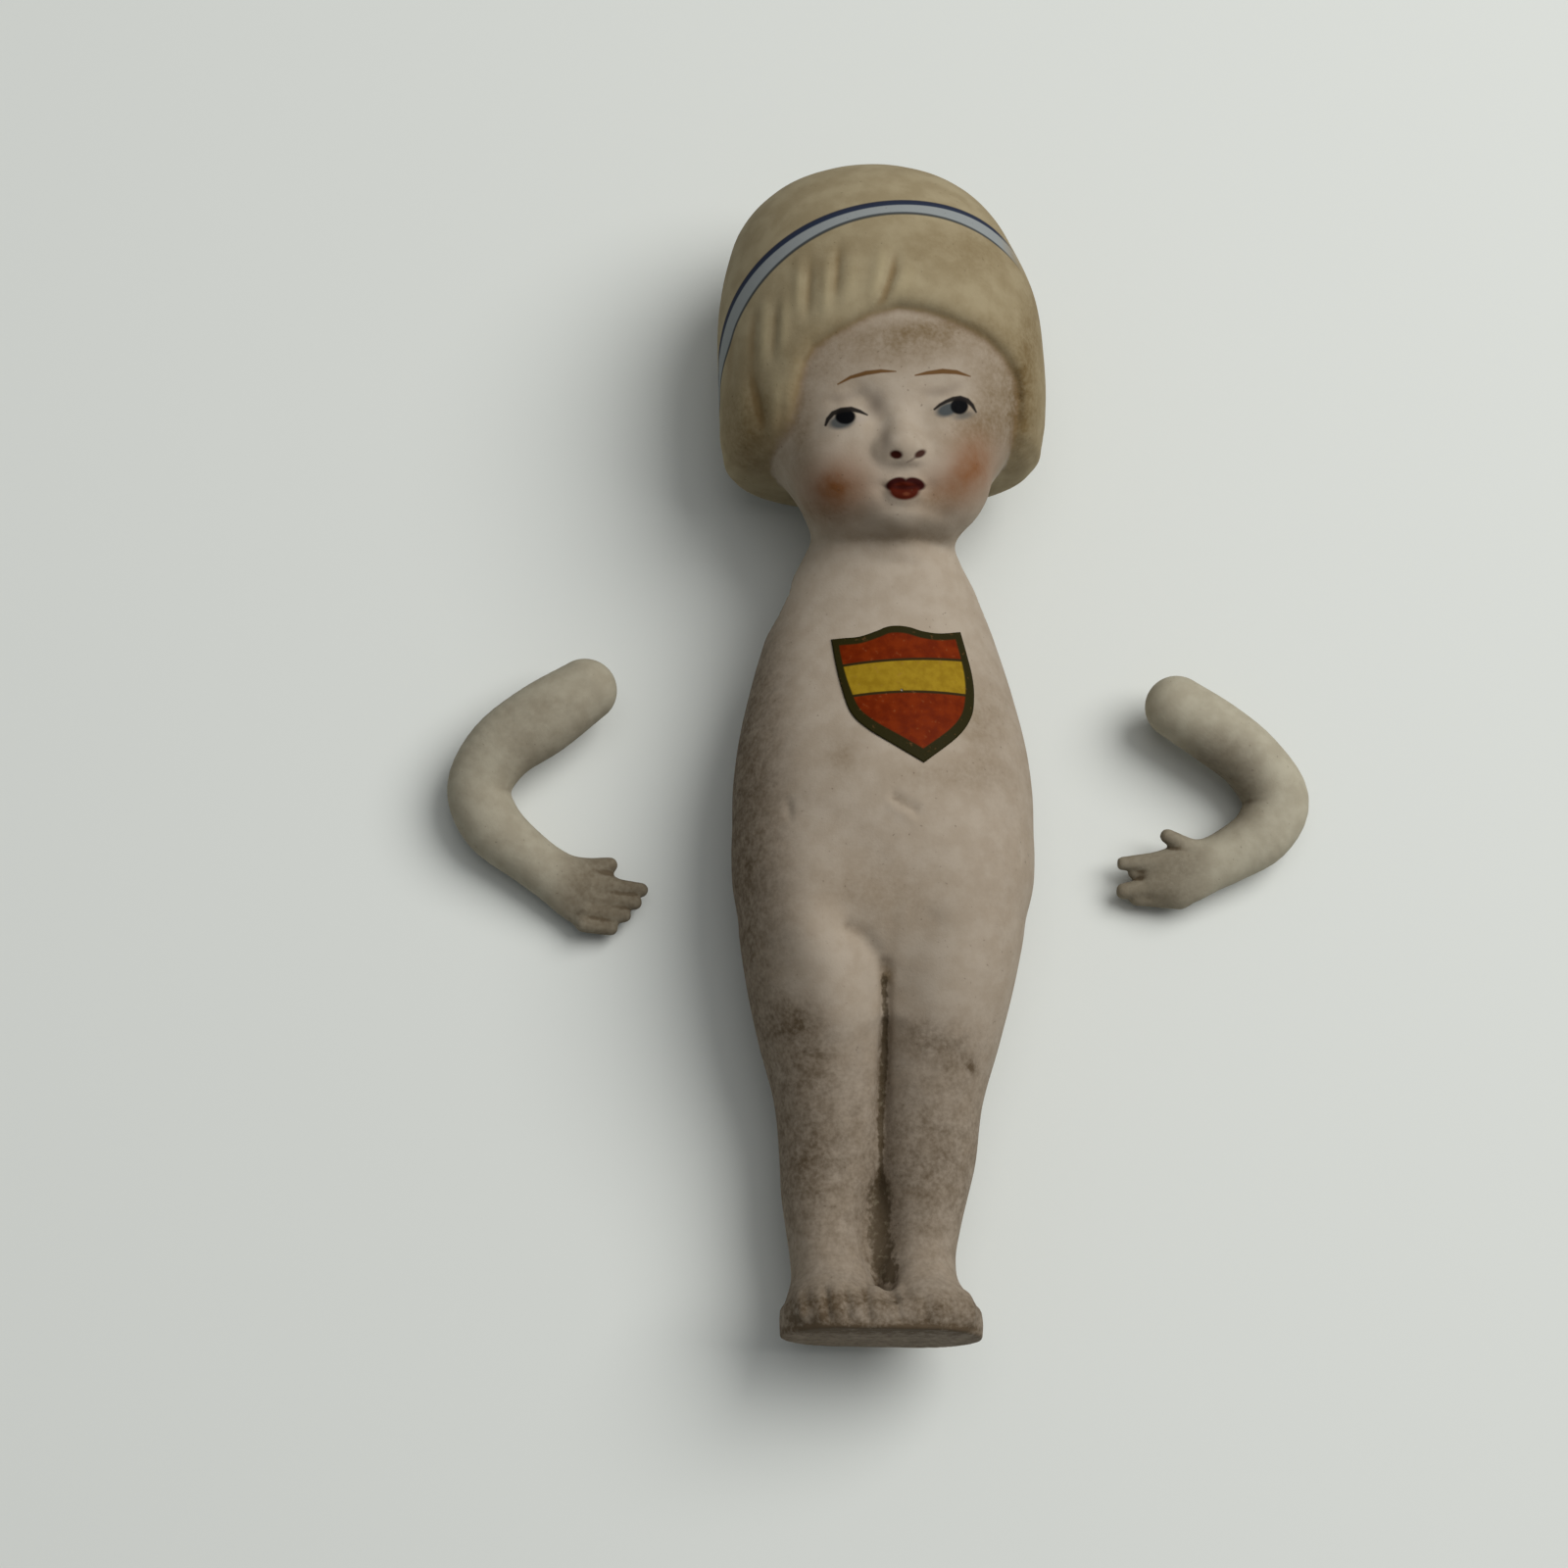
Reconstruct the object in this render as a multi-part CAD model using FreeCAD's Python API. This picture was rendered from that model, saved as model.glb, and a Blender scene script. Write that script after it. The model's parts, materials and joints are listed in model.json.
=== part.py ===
"""Miniature bisque doll, lying on its back with its two loose arms beside it. Millimetres.

The doll is one bisque casting: head with bobbed hair, trunk and frozen legs on a common flat
sole, with a stringing hole straight through its shoulders. Each arm is a bent bisque casting with
a stringing eye under its shoulder, and turns about that eye. A thin paper shield is pasted on the
chest.

X runs across the doll, Y from its feet to its crown and Z up from the surface that it lies on.
"""
import FreeCAD
import Part
import math
import os
from FreeCAD import Vector

os.makedirs("parts", exist_ok=True)

# Driving sizes of the casting
doll_height = 116.5
hip_width = 29.1
body_depth = 21.0
head_width = 32.6
head_depth = 27.7
head_lean_degrees = 3.0
leg_cleft_depth = 4.4

# Face and toes
nose_radius = 1.25
nostril_radius = 0.85
lip_radius = 0.8
cheek_radius = 4.7
chin_radius = 2.5
toe_radius = 1.05
toe_pitch = 1.72
toe_gap = 0.9

# Shoulder joint of the casting
eye_hole_radius = 1.7
facet_radius = 3.4

# Arms
arm_length = 28.0
arm_width = 6.6
arm_depth = 6.2
finger_radius = 0.85
eye_stem_radius = 1.35
eye_stem_length = 2.0
eye_wire_radius = 0.5
right_arm_across = 28.4
left_arm_across = 30.3

# Paper label
label_width = 13.2
label_height = 13.8
label_thickness = 0.15

overrun = 6.0

# Half width of the trunk where the arms join, as a share of hip_width
shoulder_half_width_share = 0.342

# Stations of the trunk and legs from the sole up: height, sway, half width, middle, front, back,
# cleft and roundness. Heights are shares of doll_height, sways and half widths of hip_width, the
# next three of body_depth and the cleft of leg_cleft_depth. A roundness of 1 is an oval, and less
# is squarer.
trunk_station_shares = [
    (0.000, -0.010, 0.309, 0.476, 0.281, 0.240, 0.30, 0.50),
    (0.013, -0.010, 0.320, 0.476, 0.314, 0.252, 0.35, 0.50),
    (0.030, -0.015, 0.313, 0.462, 0.300, 0.262, 0.45, 0.65),
    (0.047, -0.024, 0.280, 0.424, 0.245, 0.248, 0.75, 0.80),
    (0.064, -0.026, 0.263, 0.400, 0.210, 0.229, 0.85, 0.95),
    (0.090, -0.024, 0.280, 0.390, 0.205, 0.233, 0.80, 0.95),
    (0.137, -0.010, 0.314, 0.390, 0.238, 0.281, 0.65, 0.95),
    (0.192, -0.004, 0.338, 0.414, 0.281, 0.300, 0.60, 0.95),
    (0.240, 0.000, 0.392, 0.443, 0.333, 0.348, 0.55, 0.95),
    (0.296, 0.003, 0.447, 0.471, 0.410, 0.424, 0.40, 1.00),
    (0.335, 0.004, 0.474, 0.486, 0.448, 0.471, 0.12, 1.00),
    (0.378, 0.005, 0.488, 0.495, 0.476, 0.490, 0.00, 1.00),
    (0.429, 0.005, 0.500, 0.495, 0.505, 0.471, 0.00, 1.00),
    (0.481, 0.005, 0.484, 0.486, 0.495, 0.429, 0.00, 1.00),
    (0.532, 0.004, 0.442, 0.471, 0.448, 0.390, 0.00, 1.00),
    (0.579, 0.002, 0.392, 0.457, 0.419, 0.357, 0.00, 1.00),
    (0.618, 0.000, shoulder_half_width_share, 0.452, 0.438, 0.338, 0.00, 1.00),
    (0.648, 0.000, 0.278, 0.467, 0.457, 0.300, 0.00, 1.00),
    (0.670, 0.000, 0.236, 0.500, 0.443, 0.281, 0.00, 1.00),
    (0.704, 0.000, 0.234, 0.548, 0.400, 0.286, 0.00, 1.00),
]
deepest_cleft_share = 0.85

# Stations of the head: height, half width, middle, front, back. Heights are shares of doll_height,
# half widths of head_width and the rest of head_depth. The hair stands proud of the face.
face_station_shares = [
    (0.647, 0.090, 0.665, 0.090, 0.145),
    (0.658, 0.165, 0.640, 0.195, 0.235),
    (0.678, 0.232, 0.585, 0.296, 0.310),
    (0.704, 0.293, 0.552, 0.343, 0.361),
    (0.738, 0.371, 0.534, 0.368, 0.397),
    (0.773, 0.418, 0.523, 0.401, 0.397),
    (0.815, 0.434, 0.516, 0.428, 0.415),
    (0.858, 0.403, 0.513, 0.412, 0.415),
    (0.901, 0.333, 0.505, 0.347, 0.361),
    (0.936, 0.245, 0.505, 0.253, 0.253),
]
hair_station_shares = [
    (0.725, 0.330, 0.340, 0.320, 0.235),
    (0.734, 0.430, 0.365, 0.450, 0.320),
    (0.752, 0.472, 0.403, 0.502, 0.386),
    (0.781, 0.492, 0.444, 0.518, 0.438),
    (0.824, 0.498, 0.469, 0.520, 0.466),
    (0.876, 0.487, 0.478, 0.510, 0.472),
    (0.918, 0.446, 0.475, 0.468, 0.455),
    (0.948, 0.391, 0.470, 0.400, 0.404),
    (0.973, 0.308, 0.457, 0.312, 0.320),
    (0.990, 0.200, 0.448, 0.200, 0.205),
]
crown_middle_share = 0.443

# Edge of the hair round the face, from the left jaw over the brow to the right jaw: across as a
# share of head_width and height as a share of doll_height
hairline_shares = [
    (-0.376, 0.650),
    (-0.355, 0.695),
    (-0.316, 0.738),
    (-0.277, 0.780),
    (-0.255, 0.798),
    (-0.163, 0.808),
    (-0.081, 0.820),
    (0.001, 0.825),
    (0.090, 0.822),
    (0.181, 0.815),
    (0.269, 0.807),
    (0.340, 0.795),
    (0.376, 0.769),
    (0.351, 0.733),
    (0.305, 0.700),
    (0.275, 0.650),
]
hair_opening_floor_share = 0.60

# Places on the face: height as a share of doll_height, across of head_width and up of head_depth
nose_tip_shares = (0.707, 0.0, 0.921)
nose_bridge_shares = (0.733, 0.0, 0.874)
nostril_shares = (0.701, 0.040, 0.899)
mouth_shares = (0.671, 0.0, 0.866)
mouth_corner_shares = (0.672, 0.046, 0.846)
chin_shares = (0.668, 0.0, 0.750)
cheek_shares = (0.702, 0.141, 0.682)
head_pivot_share = 0.80

# Toes: how much each is smaller and closer than the last, how the row bends back and how deep each
# toe sits in the foot
toe_taper_share = 0.07
toe_crowding_share = 0.03
toe_row_bend_share = 0.16
toe_sink_share = 0.35

# Shoulder joint and label on the casting
shoulder_height_share = 0.615
shoulder_middle_share = 0.443
facet_across_share = 0.87
label_across_share = 0.03
label_middle_share = 0.513
label_floor_share = 0.6

# Corners and side points of the shield from its upper left corner clockwise, and its tip: across as
# a share of label_width and height of label_height, from its middle
shield_top_shares = [(-0.47, 0.39), (-0.22, 0.41), (0.00, 0.50), (0.22, 0.43), (0.49, 0.45)]
shield_right_shares = [(0.49, 0.45), (0.53, 0.05), (0.16, -0.50)]
shield_left_shares = [(0.16, -0.50), (-0.30, -0.18), (-0.47, 0.39)]

# Arms as they lie, measured from the shoulder eye. Stations: across, along, half width, half depth
# and lift. Across, along and lift are shares of arm_length.
right_arm_along_share = 0.549
left_arm_along_share = 0.553
right_arm_station_shares = [
    (0.000, 0.000, 0.485, 0.490, 0.182),
    (-0.150, -0.121, 0.555, 0.520, 0.180),
    (-0.289, -0.229, 0.515, 0.510, 0.160),
    (-0.364, -0.368, 0.465, 0.475, 0.134),
    (-0.318, -0.507, 0.465, 0.460, 0.122),
    (-0.182, -0.629, 0.392, 0.400, 0.106),
    (-0.093, -0.693, 0.395, 0.350, 0.094),
    (0.007, -0.757, 0.530, 0.300, 0.080),
    (0.064, -0.786, 0.500, 0.240, 0.070),
]
left_arm_station_shares = [
    (0.000, 0.000, 0.480, 0.490, 0.182),
    (0.139, -0.095, 0.500, 0.510, 0.178),
    (0.268, -0.193, 0.485, 0.500, 0.156),
    (0.357, -0.325, 0.500, 0.480, 0.130),
    (0.307, -0.454, 0.462, 0.460, 0.120),
    (0.189, -0.543, 0.415, 0.410, 0.110),
    (0.107, -0.589, 0.410, 0.370, 0.106),
    (0.018, -0.629, 0.480, 0.330, 0.110),
    (-0.036, -0.643, 0.420, 0.280, 0.112),
]
# Round ends of the limb: how far before the first station and past the last each ring stands, as a
# share of the end's radius, and its size as a share of the station's
shoulder_end_shares = [(0.90, 0.44), (0.60, 0.80)]
wrist_end_shares = (0.70, 0.72)

# Fingers: knuckle and tip, each across, along and lift as shares of arm_length, and their
# thickness as a share of finger_radius. The thumb comes first.
right_finger_shares = [
    ((-0.032, -0.654, 0.086), (0.096, -0.620, 0.075), 0.95),
    ((0.071, -0.679, 0.075), (0.214, -0.703, 0.050), 1.00),
    ((0.064, -0.736, 0.075), (0.185, -0.764, 0.045), 1.00),
    ((0.050, -0.789, 0.072), (0.160, -0.820, 0.043), 0.95),
    ((0.021, -0.836, 0.064), (0.094, -0.868, 0.040), 0.90),
]
left_finger_shares = [
    ((0.061, -0.518, 0.129), (-0.035, -0.486, 0.150), 0.95),
    ((-0.025, -0.575, 0.140), (-0.186, -0.586, 0.128), 1.00),
    ((-0.032, -0.604, 0.100), (-0.180, -0.611, 0.086), 0.95),
    ((-0.032, -0.654, 0.118), (-0.188, -0.676, 0.104), 1.00),
    ((-0.025, -0.689, 0.090), (-0.155, -0.696, 0.068), 0.85),
]

fingertip_taper_share = 0.85

UP = Vector(0, 0, 1)
ACROSS = Vector(1, 0, 0)
TO_FEET = Vector(0, -1, 0)


def ring(middle, across, half_width, front, back, cleft=0.0, roundness=1.0):
    """Smooth closed section: an oval that the cleft pinches at its middle line."""
    points = []
    for side, reach in ((1, front), (-1, -back)):
        for step in range(6):
            angle = math.radians(30 * step)
            width = side * math.copysign(abs(math.cos(angle)) ** roundness, math.cos(angle))
            rise = math.sin(angle) ** roundness
            if step == 3:
                width = 0
                rise -= min(cleft * leg_cleft_depth / abs(reach), deepest_cleft_share)
            elif step in (2, 4):
                rise += (1 - rise) * min(2 * cleft, 1)
            points.append(middle + across * width * half_width + UP * rise * reach)
    curve = Part.BSplineCurve()
    curve.interpolate(Points=points, PeriodicFlag=True)
    return Part.Wire([curve.toShape()])


def loft(profiles):
    """Smooth solid through sections, either end of which may be a single point."""
    return Part.makeLoft(profiles, True, False)


def trunk(growth=0.0):
    """Trunk and legs through their stations, grown all round by the same amount."""
    sections = []
    for height, sway, half, middle, front, back, cleft, roundness in trunk_station_shares:
        sections.append(ring(
            Vector(sway * hip_width, height * doll_height, middle * body_depth),
            ACROSS,
            half * hip_width + growth,
            front * body_depth + growth,
            back * body_depth + growth,
            cleft,
            roundness,
        ))
    return loft(sections)


def head_form(stations, top=None):
    """Form of the head through its stations, closed at the crown where a top point is given."""
    sections = []
    for height, half, middle, front, back in stations:
        sections.append(ring(
            Vector(0, height * doll_height, middle * head_depth),
            ACROSS,
            half * head_width,
            front * head_depth,
            back * head_depth,
        ))
    if top:
        sections.append(Part.Vertex(top))
    return loft(sections)


def on_head(shares, side=1):
    """Point of the head from its height, across and up shares."""
    height, across, up = shares
    return Vector(side * across * head_width, height * doll_height, up * head_depth)


def rod(start, end, start_radius, end_radius):
    """Tapered rod with round ends between two points."""
    reach = end - start
    body = Part.makeCone(start_radius, end_radius, reach.Length, start, reach)
    return body.fuse([Part.makeSphere(start_radius, start), Part.makeSphere(end_radius, end)])


def hair():
    """Bobbed hair with the opening that leaves the face bare."""
    crown = Vector(0, doll_height, crown_middle_share * head_depth)
    solid = head_form(hair_station_shares, top=crown)
    floor = hair_opening_floor_share * head_depth
    points = [Vector(x * head_width, y * doll_height, floor) for x, y in hairline_shares]
    edge = Part.BSplineCurve()
    edge.interpolate(points)
    outline = Part.Wire([edge.toShape(), Part.makeLine(points[-1], points[0])])
    opening = Part.Face(outline).extrude(UP * head_depth)
    return solid.cut(opening)


def features():
    """Nose, lips, cheeks and chin that stand on the face."""
    nose = rod(on_head(nose_bridge_shares), on_head(nose_tip_shares), nose_radius / 2, nose_radius)
    forms = [nose, Part.makeSphere(chin_radius, on_head(chin_shares))]
    for side in (-1, 1):
        forms.append(Part.makeSphere(nostril_radius, on_head(nostril_shares, side)))
        corner = on_head(mouth_corner_shares, side)
        forms.append(rod(on_head(mouth_shares), corner, lip_radius, lip_radius / 2))
        forms.append(Part.makeSphere(cheek_radius, on_head(cheek_shares, side), TO_FEET))
    return forms


def head():
    """Face, features and hair as one form, leaning to one side."""
    solid = head_form(face_station_shares).fuse(features() + [hair()])
    solid.rotate(Vector(0, head_pivot_share * doll_height, 0), UP, head_lean_degrees)
    return solid


def toes():
    """Five round toes along the front edge of each foot, the great toes innermost."""
    height, sway, half, middle, front = trunk_station_shares[1][:5]
    forms = []
    for side in (-1, 1):
        for place in range(5):
            radius = toe_radius * (1 - toe_taper_share * place)
            across = toe_gap + toe_pitch * place * (1 - toe_crowding_share * place)
            bend = toe_row_bend_share * (across / (half * hip_width)) ** 4
            up = (middle + front * (1 - bend)) * body_depth - toe_sink_share * radius
            centre = Vector(sway * hip_width + side * across, height * doll_height + radius, up)
            forms.append(Part.makeSphere(radius, centre))
    return forms


shoulder = Vector(0, shoulder_height_share * doll_height, shoulder_middle_share * body_depth)
facet_across = facet_across_share * shoulder_half_width_share * hip_width


def shoulder_cuts():
    """Flat facets for the arms, and the stringing hole that joins their middles."""
    hole_start = shoulder - ACROSS * (facet_across + overrun)
    cuts = [Part.makeCylinder(eye_hole_radius, 2 * (facet_across + overrun), hole_start, ACROSS)]
    for side in (-1, 1):
        outward = ACROSS * side
        start = shoulder + outward * facet_across
        cuts.append(Part.makeCylinder(facet_radius, overrun, start, outward))
    return cuts


def casting():
    """Head, trunk and legs: one bisque casting, cut level at the sole."""
    solid = trunk().fuse([head()] + toes())
    corner = Vector(-hip_width, -overrun, -body_depth / 2)
    below = Part.makeBox(2 * hip_width, overrun, 2 * body_depth, corner)
    return solid.cut([below] + shoulder_cuts())


def shield_outline():
    """Closed outline of the shield, level, at the label's place."""
    middle = Vector(
        label_across_share * hip_width,
        label_middle_share * doll_height,
        label_floor_share * body_depth,
    )

    def place(shares):
        return [middle + Vector(x * label_width, y * label_height, 0) for x, y in shares]

    edges = []
    for shares in (shield_top_shares, shield_right_shares, shield_left_shares):
        curve = Part.BSplineCurve()
        curve.interpolate(place(shares))
        edges.append(curve.toShape())
    return Part.Wire(edges)


def chest_label():
    """Thin paper shield that follows the chest."""
    prism = Part.Face(shield_outline()).extrude(UP * body_depth)
    return trunk(label_thickness).common(prism).cut(trunk())


def arm(station_shares, finger_shares, centre):
    """Bent arm through its stations, with fingers and the stringing eye under its shoulder."""
    places = []
    for across, along, half_width, half_depth, up in station_shares:
        point = centre + Vector(across * arm_length, along * arm_length, up * arm_length)
        places.append((point, half_width * arm_width, half_depth * arm_depth))
    count = len(places)
    headings = []
    for index in range(count):
        before = places[max(index - 1, 0)][0]
        after = places[min(index + 1, count - 1)][0]
        heading = after - before
        heading.z = 0
        headings.append(heading.normalize())

    def section(index, shift=0.0, scale=1.0):
        point, half_width, half_depth = places[index]
        side = headings[index].cross(UP)
        middle = point + headings[index] * shift
        return ring(middle, side, half_width * scale, half_depth * scale, half_depth * scale)

    start_radius = places[0][1]
    end_radius = places[-1][2]
    wrist_reach, wrist_size = wrist_end_shares
    sections = [Part.Vertex(places[0][0] - headings[0] * start_radius)]
    sections += [section(0, -reach * start_radius, size) for reach, size in shoulder_end_shares]
    sections += [section(index) for index in range(count)]
    sections += [section(count - 1, wrist_reach * end_radius, wrist_size)]
    sections += [Part.Vertex(places[-1][0] + headings[-1] * end_radius)]
    solid = loft(sections)
    fingers = []
    for knuckle, tip, thickness in finger_shares:
        start = centre + Vector(*knuckle) * arm_length
        end = centre + Vector(*tip) * arm_length
        radius = finger_radius * thickness
        fingers.append(rod(start, end, radius, radius * fingertip_taper_share))
    stem = Part.makeCylinder(eye_stem_radius, places[0][0].z, centre)
    solid = solid.fuse(fingers + [stem])
    wire_way = centre + UP * (eye_stem_length / 2) - headings[0] * overrun
    return solid.cut(Part.makeCylinder(eye_wire_radius, 2 * overrun, wire_way, headings[0]))


nodes = {
    "body_casting": casting(),
    "chest_label": chest_label(),
    "right_arm": arm(
        right_arm_station_shares,
        right_finger_shares,
        Vector(-right_arm_across, right_arm_along_share * doll_height, 0),
    ),
    "left_arm": arm(
        left_arm_station_shares,
        left_finger_shares,
        Vector(left_arm_across, left_arm_along_share * doll_height, 0),
    ),
}

# The group is centred over the origin and rests on the level through it
group = Part.makeCompound(list(nodes.values())).BoundBox
shift = Vector(-(group.XMin + group.XMax) / 2, -(group.YMin + group.YMax) / 2, -group.ZMin)
for name, shape in nodes.items():
    shape.translate(shift)
    shape.exportStep("parts/" + name + ".step")
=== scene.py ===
"""Looks of the miniature bisque doll: sculpted castings, painted face and hair, paper label, stage.

Sculpting works in millimetres in the doll's own frame: x across from the doll's middle line, y up
from its sole and z above the surface that it lies on. Painted details are placed where they stand
in a picture of 1600 by 1600 pixels taken from the view point below.
"""
import json
import math

import bpy
import numpy as np
import openvdb
from mathutils import Matrix, Vector


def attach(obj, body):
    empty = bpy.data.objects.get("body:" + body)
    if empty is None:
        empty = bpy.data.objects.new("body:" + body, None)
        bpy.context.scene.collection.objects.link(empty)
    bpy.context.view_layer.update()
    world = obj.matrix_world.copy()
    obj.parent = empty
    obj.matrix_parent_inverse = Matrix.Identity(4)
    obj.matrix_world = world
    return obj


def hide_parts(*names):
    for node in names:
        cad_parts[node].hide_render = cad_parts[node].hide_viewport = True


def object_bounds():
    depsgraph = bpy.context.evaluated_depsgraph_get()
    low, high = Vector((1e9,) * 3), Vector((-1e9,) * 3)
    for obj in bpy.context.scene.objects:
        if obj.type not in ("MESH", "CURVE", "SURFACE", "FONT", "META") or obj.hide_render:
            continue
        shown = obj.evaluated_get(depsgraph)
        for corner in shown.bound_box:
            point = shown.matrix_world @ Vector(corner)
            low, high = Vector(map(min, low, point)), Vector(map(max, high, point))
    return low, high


MM = 0.001
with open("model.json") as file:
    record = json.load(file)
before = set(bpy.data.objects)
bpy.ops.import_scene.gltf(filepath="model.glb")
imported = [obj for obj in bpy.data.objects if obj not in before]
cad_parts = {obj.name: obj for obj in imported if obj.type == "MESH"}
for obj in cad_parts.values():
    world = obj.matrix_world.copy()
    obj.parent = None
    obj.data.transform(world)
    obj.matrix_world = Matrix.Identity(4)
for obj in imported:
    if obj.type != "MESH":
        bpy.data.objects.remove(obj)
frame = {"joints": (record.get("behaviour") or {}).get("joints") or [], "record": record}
cad_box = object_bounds()
mounts = {mount["name"]: mount for mount in frame["record"]["mounts"]}
joints = {joint["name"]: Vector(joint["pos_m"]) / MM for joint in frame["joints"]}
hole = mounts["stringing_hole"]
hole_middle = Vector(hole["pos_m"]) / MM
hole_length = hole["dims"]["length_mm"]
hole_radius = hole["dims"]["r_mm"]
sole_place = Vector(mounts["sole"]["pos_m"]) / MM
rest_level = cad_box[0][2] / MM
doll_origin = Vector((hole_middle.x, sole_place.y, rest_level))

# View point: how the picture was taken
picture_size = 1600
sensor_width = 36.0
focal_pixels = 3560.0
view_tilt_across = math.radians(5.5)
view_tilt_along = math.radians(17.9)
view_roll = math.radians(0.229)
view_distance = 341.0
view_target = Vector((-8.84, 54.9, 4.6))


def view_axes():
    """Right, up and back directions of the view."""
    back = Vector((-math.tan(view_tilt_across), -math.tan(view_tilt_along), 1)).normalized()
    up = Vector((0, 1, 0))
    up = (up - back * up.dot(back)).normalized()
    right = up.cross(back)
    cosine, sine = math.cos(view_roll), math.sin(view_roll)
    return cosine * right + sine * up, cosine * up - sine * right, back


view_right, view_up, view_back = view_axes()
eye_point = doll_origin + view_target + view_back * view_distance


def picture_places(points):
    """Pixel columns and rows of points given in the doll's frame."""
    away = np.asarray(points, float) + np.array(doll_origin) - np.array(eye_point)
    depth = -(away @ np.array(view_back))
    half = picture_size / 2
    column = half + focal_pixels * (away @ np.array(view_right)) / depth
    row = half - focal_pixels * (away @ np.array(view_up)) / depth
    return column, row


def view_ray(column, row):
    """Direction from the eye point through a place in the picture."""
    half = picture_size / 2
    across = (column - half) / focal_pixels
    rise = (half - row) / focal_pixels
    return (view_right * across + view_up * rise - view_back).normalized()


def smoothstep(low, high, value):
    share = np.clip((value - low) / (high - low), 0, 1)
    return share * share * (3 - 2 * share)


def smooth_union(first, second, blend):
    """Joins two forms with a fillet of about the blend."""
    near = np.maximum(blend - np.abs(first - second), 0) / blend
    return np.minimum(first, second) - near * near * blend / 4


def smooth_cut(form, tool, blend):
    """Takes the tool out of a form and rounds the edge."""
    return -smooth_union(-form, tool, blend)


def smooth_column(table, column, at, power=1):
    """Smooth curve through one column of a table of stations."""
    places = np.array([row[0] for row in table], float)
    values = np.array([row[column] for row in table], float) ** power
    slopes = np.gradient(values, places)
    index = np.clip(np.searchsorted(places, at) - 1, 0, len(places) - 2)
    step = places[index + 1] - places[index]
    share = np.clip((at - places[index]) / step, 0, 1)
    rise = share * share * (3 - 2 * share)
    bend_in = share * (1 - share) ** 2
    bend_out = share * share * (1 - share)
    result = values[index] * (1 - rise) + values[index + 1] * rise
    result += step * (bend_in * slopes[index] - bend_out * slopes[index + 1])
    return np.maximum(result, 1e-3) ** (1 / power) if power > 1 else result


def smooth_line(points, steps):
    """Points along a smooth curve through the given points, with so many steps in each stretch."""
    points = np.array(points, float)
    ends = np.concatenate([[2 * points[0] - points[1]], points, [2 * points[-1] - points[-2]]])
    line = []
    for index in range(1, len(ends) - 2):
        before, start, end, after = ends[index - 1:index + 3]
        for step in range(steps):
            t = step / steps
            line.append(0.5 * (
                2 * start + (end - before) * t + (2 * before - 5 * start + 4 * end - after) * t * t
                + (3 * start - before - 3 * end + after) * t ** 3
            ))
    return np.array(line + [points[-1]])


def outline_distance(x, y, outline):
    """Distance from a closed outline, negative inside."""
    points = np.array(outline, float)
    inside = np.zeros(np.broadcast(x, y).shape, bool)
    nearest = np.full(inside.shape, 1e9)
    for (x0, y0), (x1, y1) in zip(points, np.roll(points, -1, axis=0)):
        reach_x, reach_y = x1 - x0, y1 - y0
        share = ((x - x0) * reach_x + (y - y0) * reach_y) / (reach_x ** 2 + reach_y ** 2)
        share = np.clip(share, 0, 1)
        gap = (x - x0 - share * reach_x) ** 2 + (y - y0 - share * reach_y) ** 2
        nearest = np.minimum(nearest, gap)
        if y0 != y1:
            crosses = ((y0 > y) != (y1 > y)) & (x < reach_x * (y - y0) / reach_y + x0)
            inside ^= crosses
    return np.where(inside, -1, 1) * np.sqrt(nearest)


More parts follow.
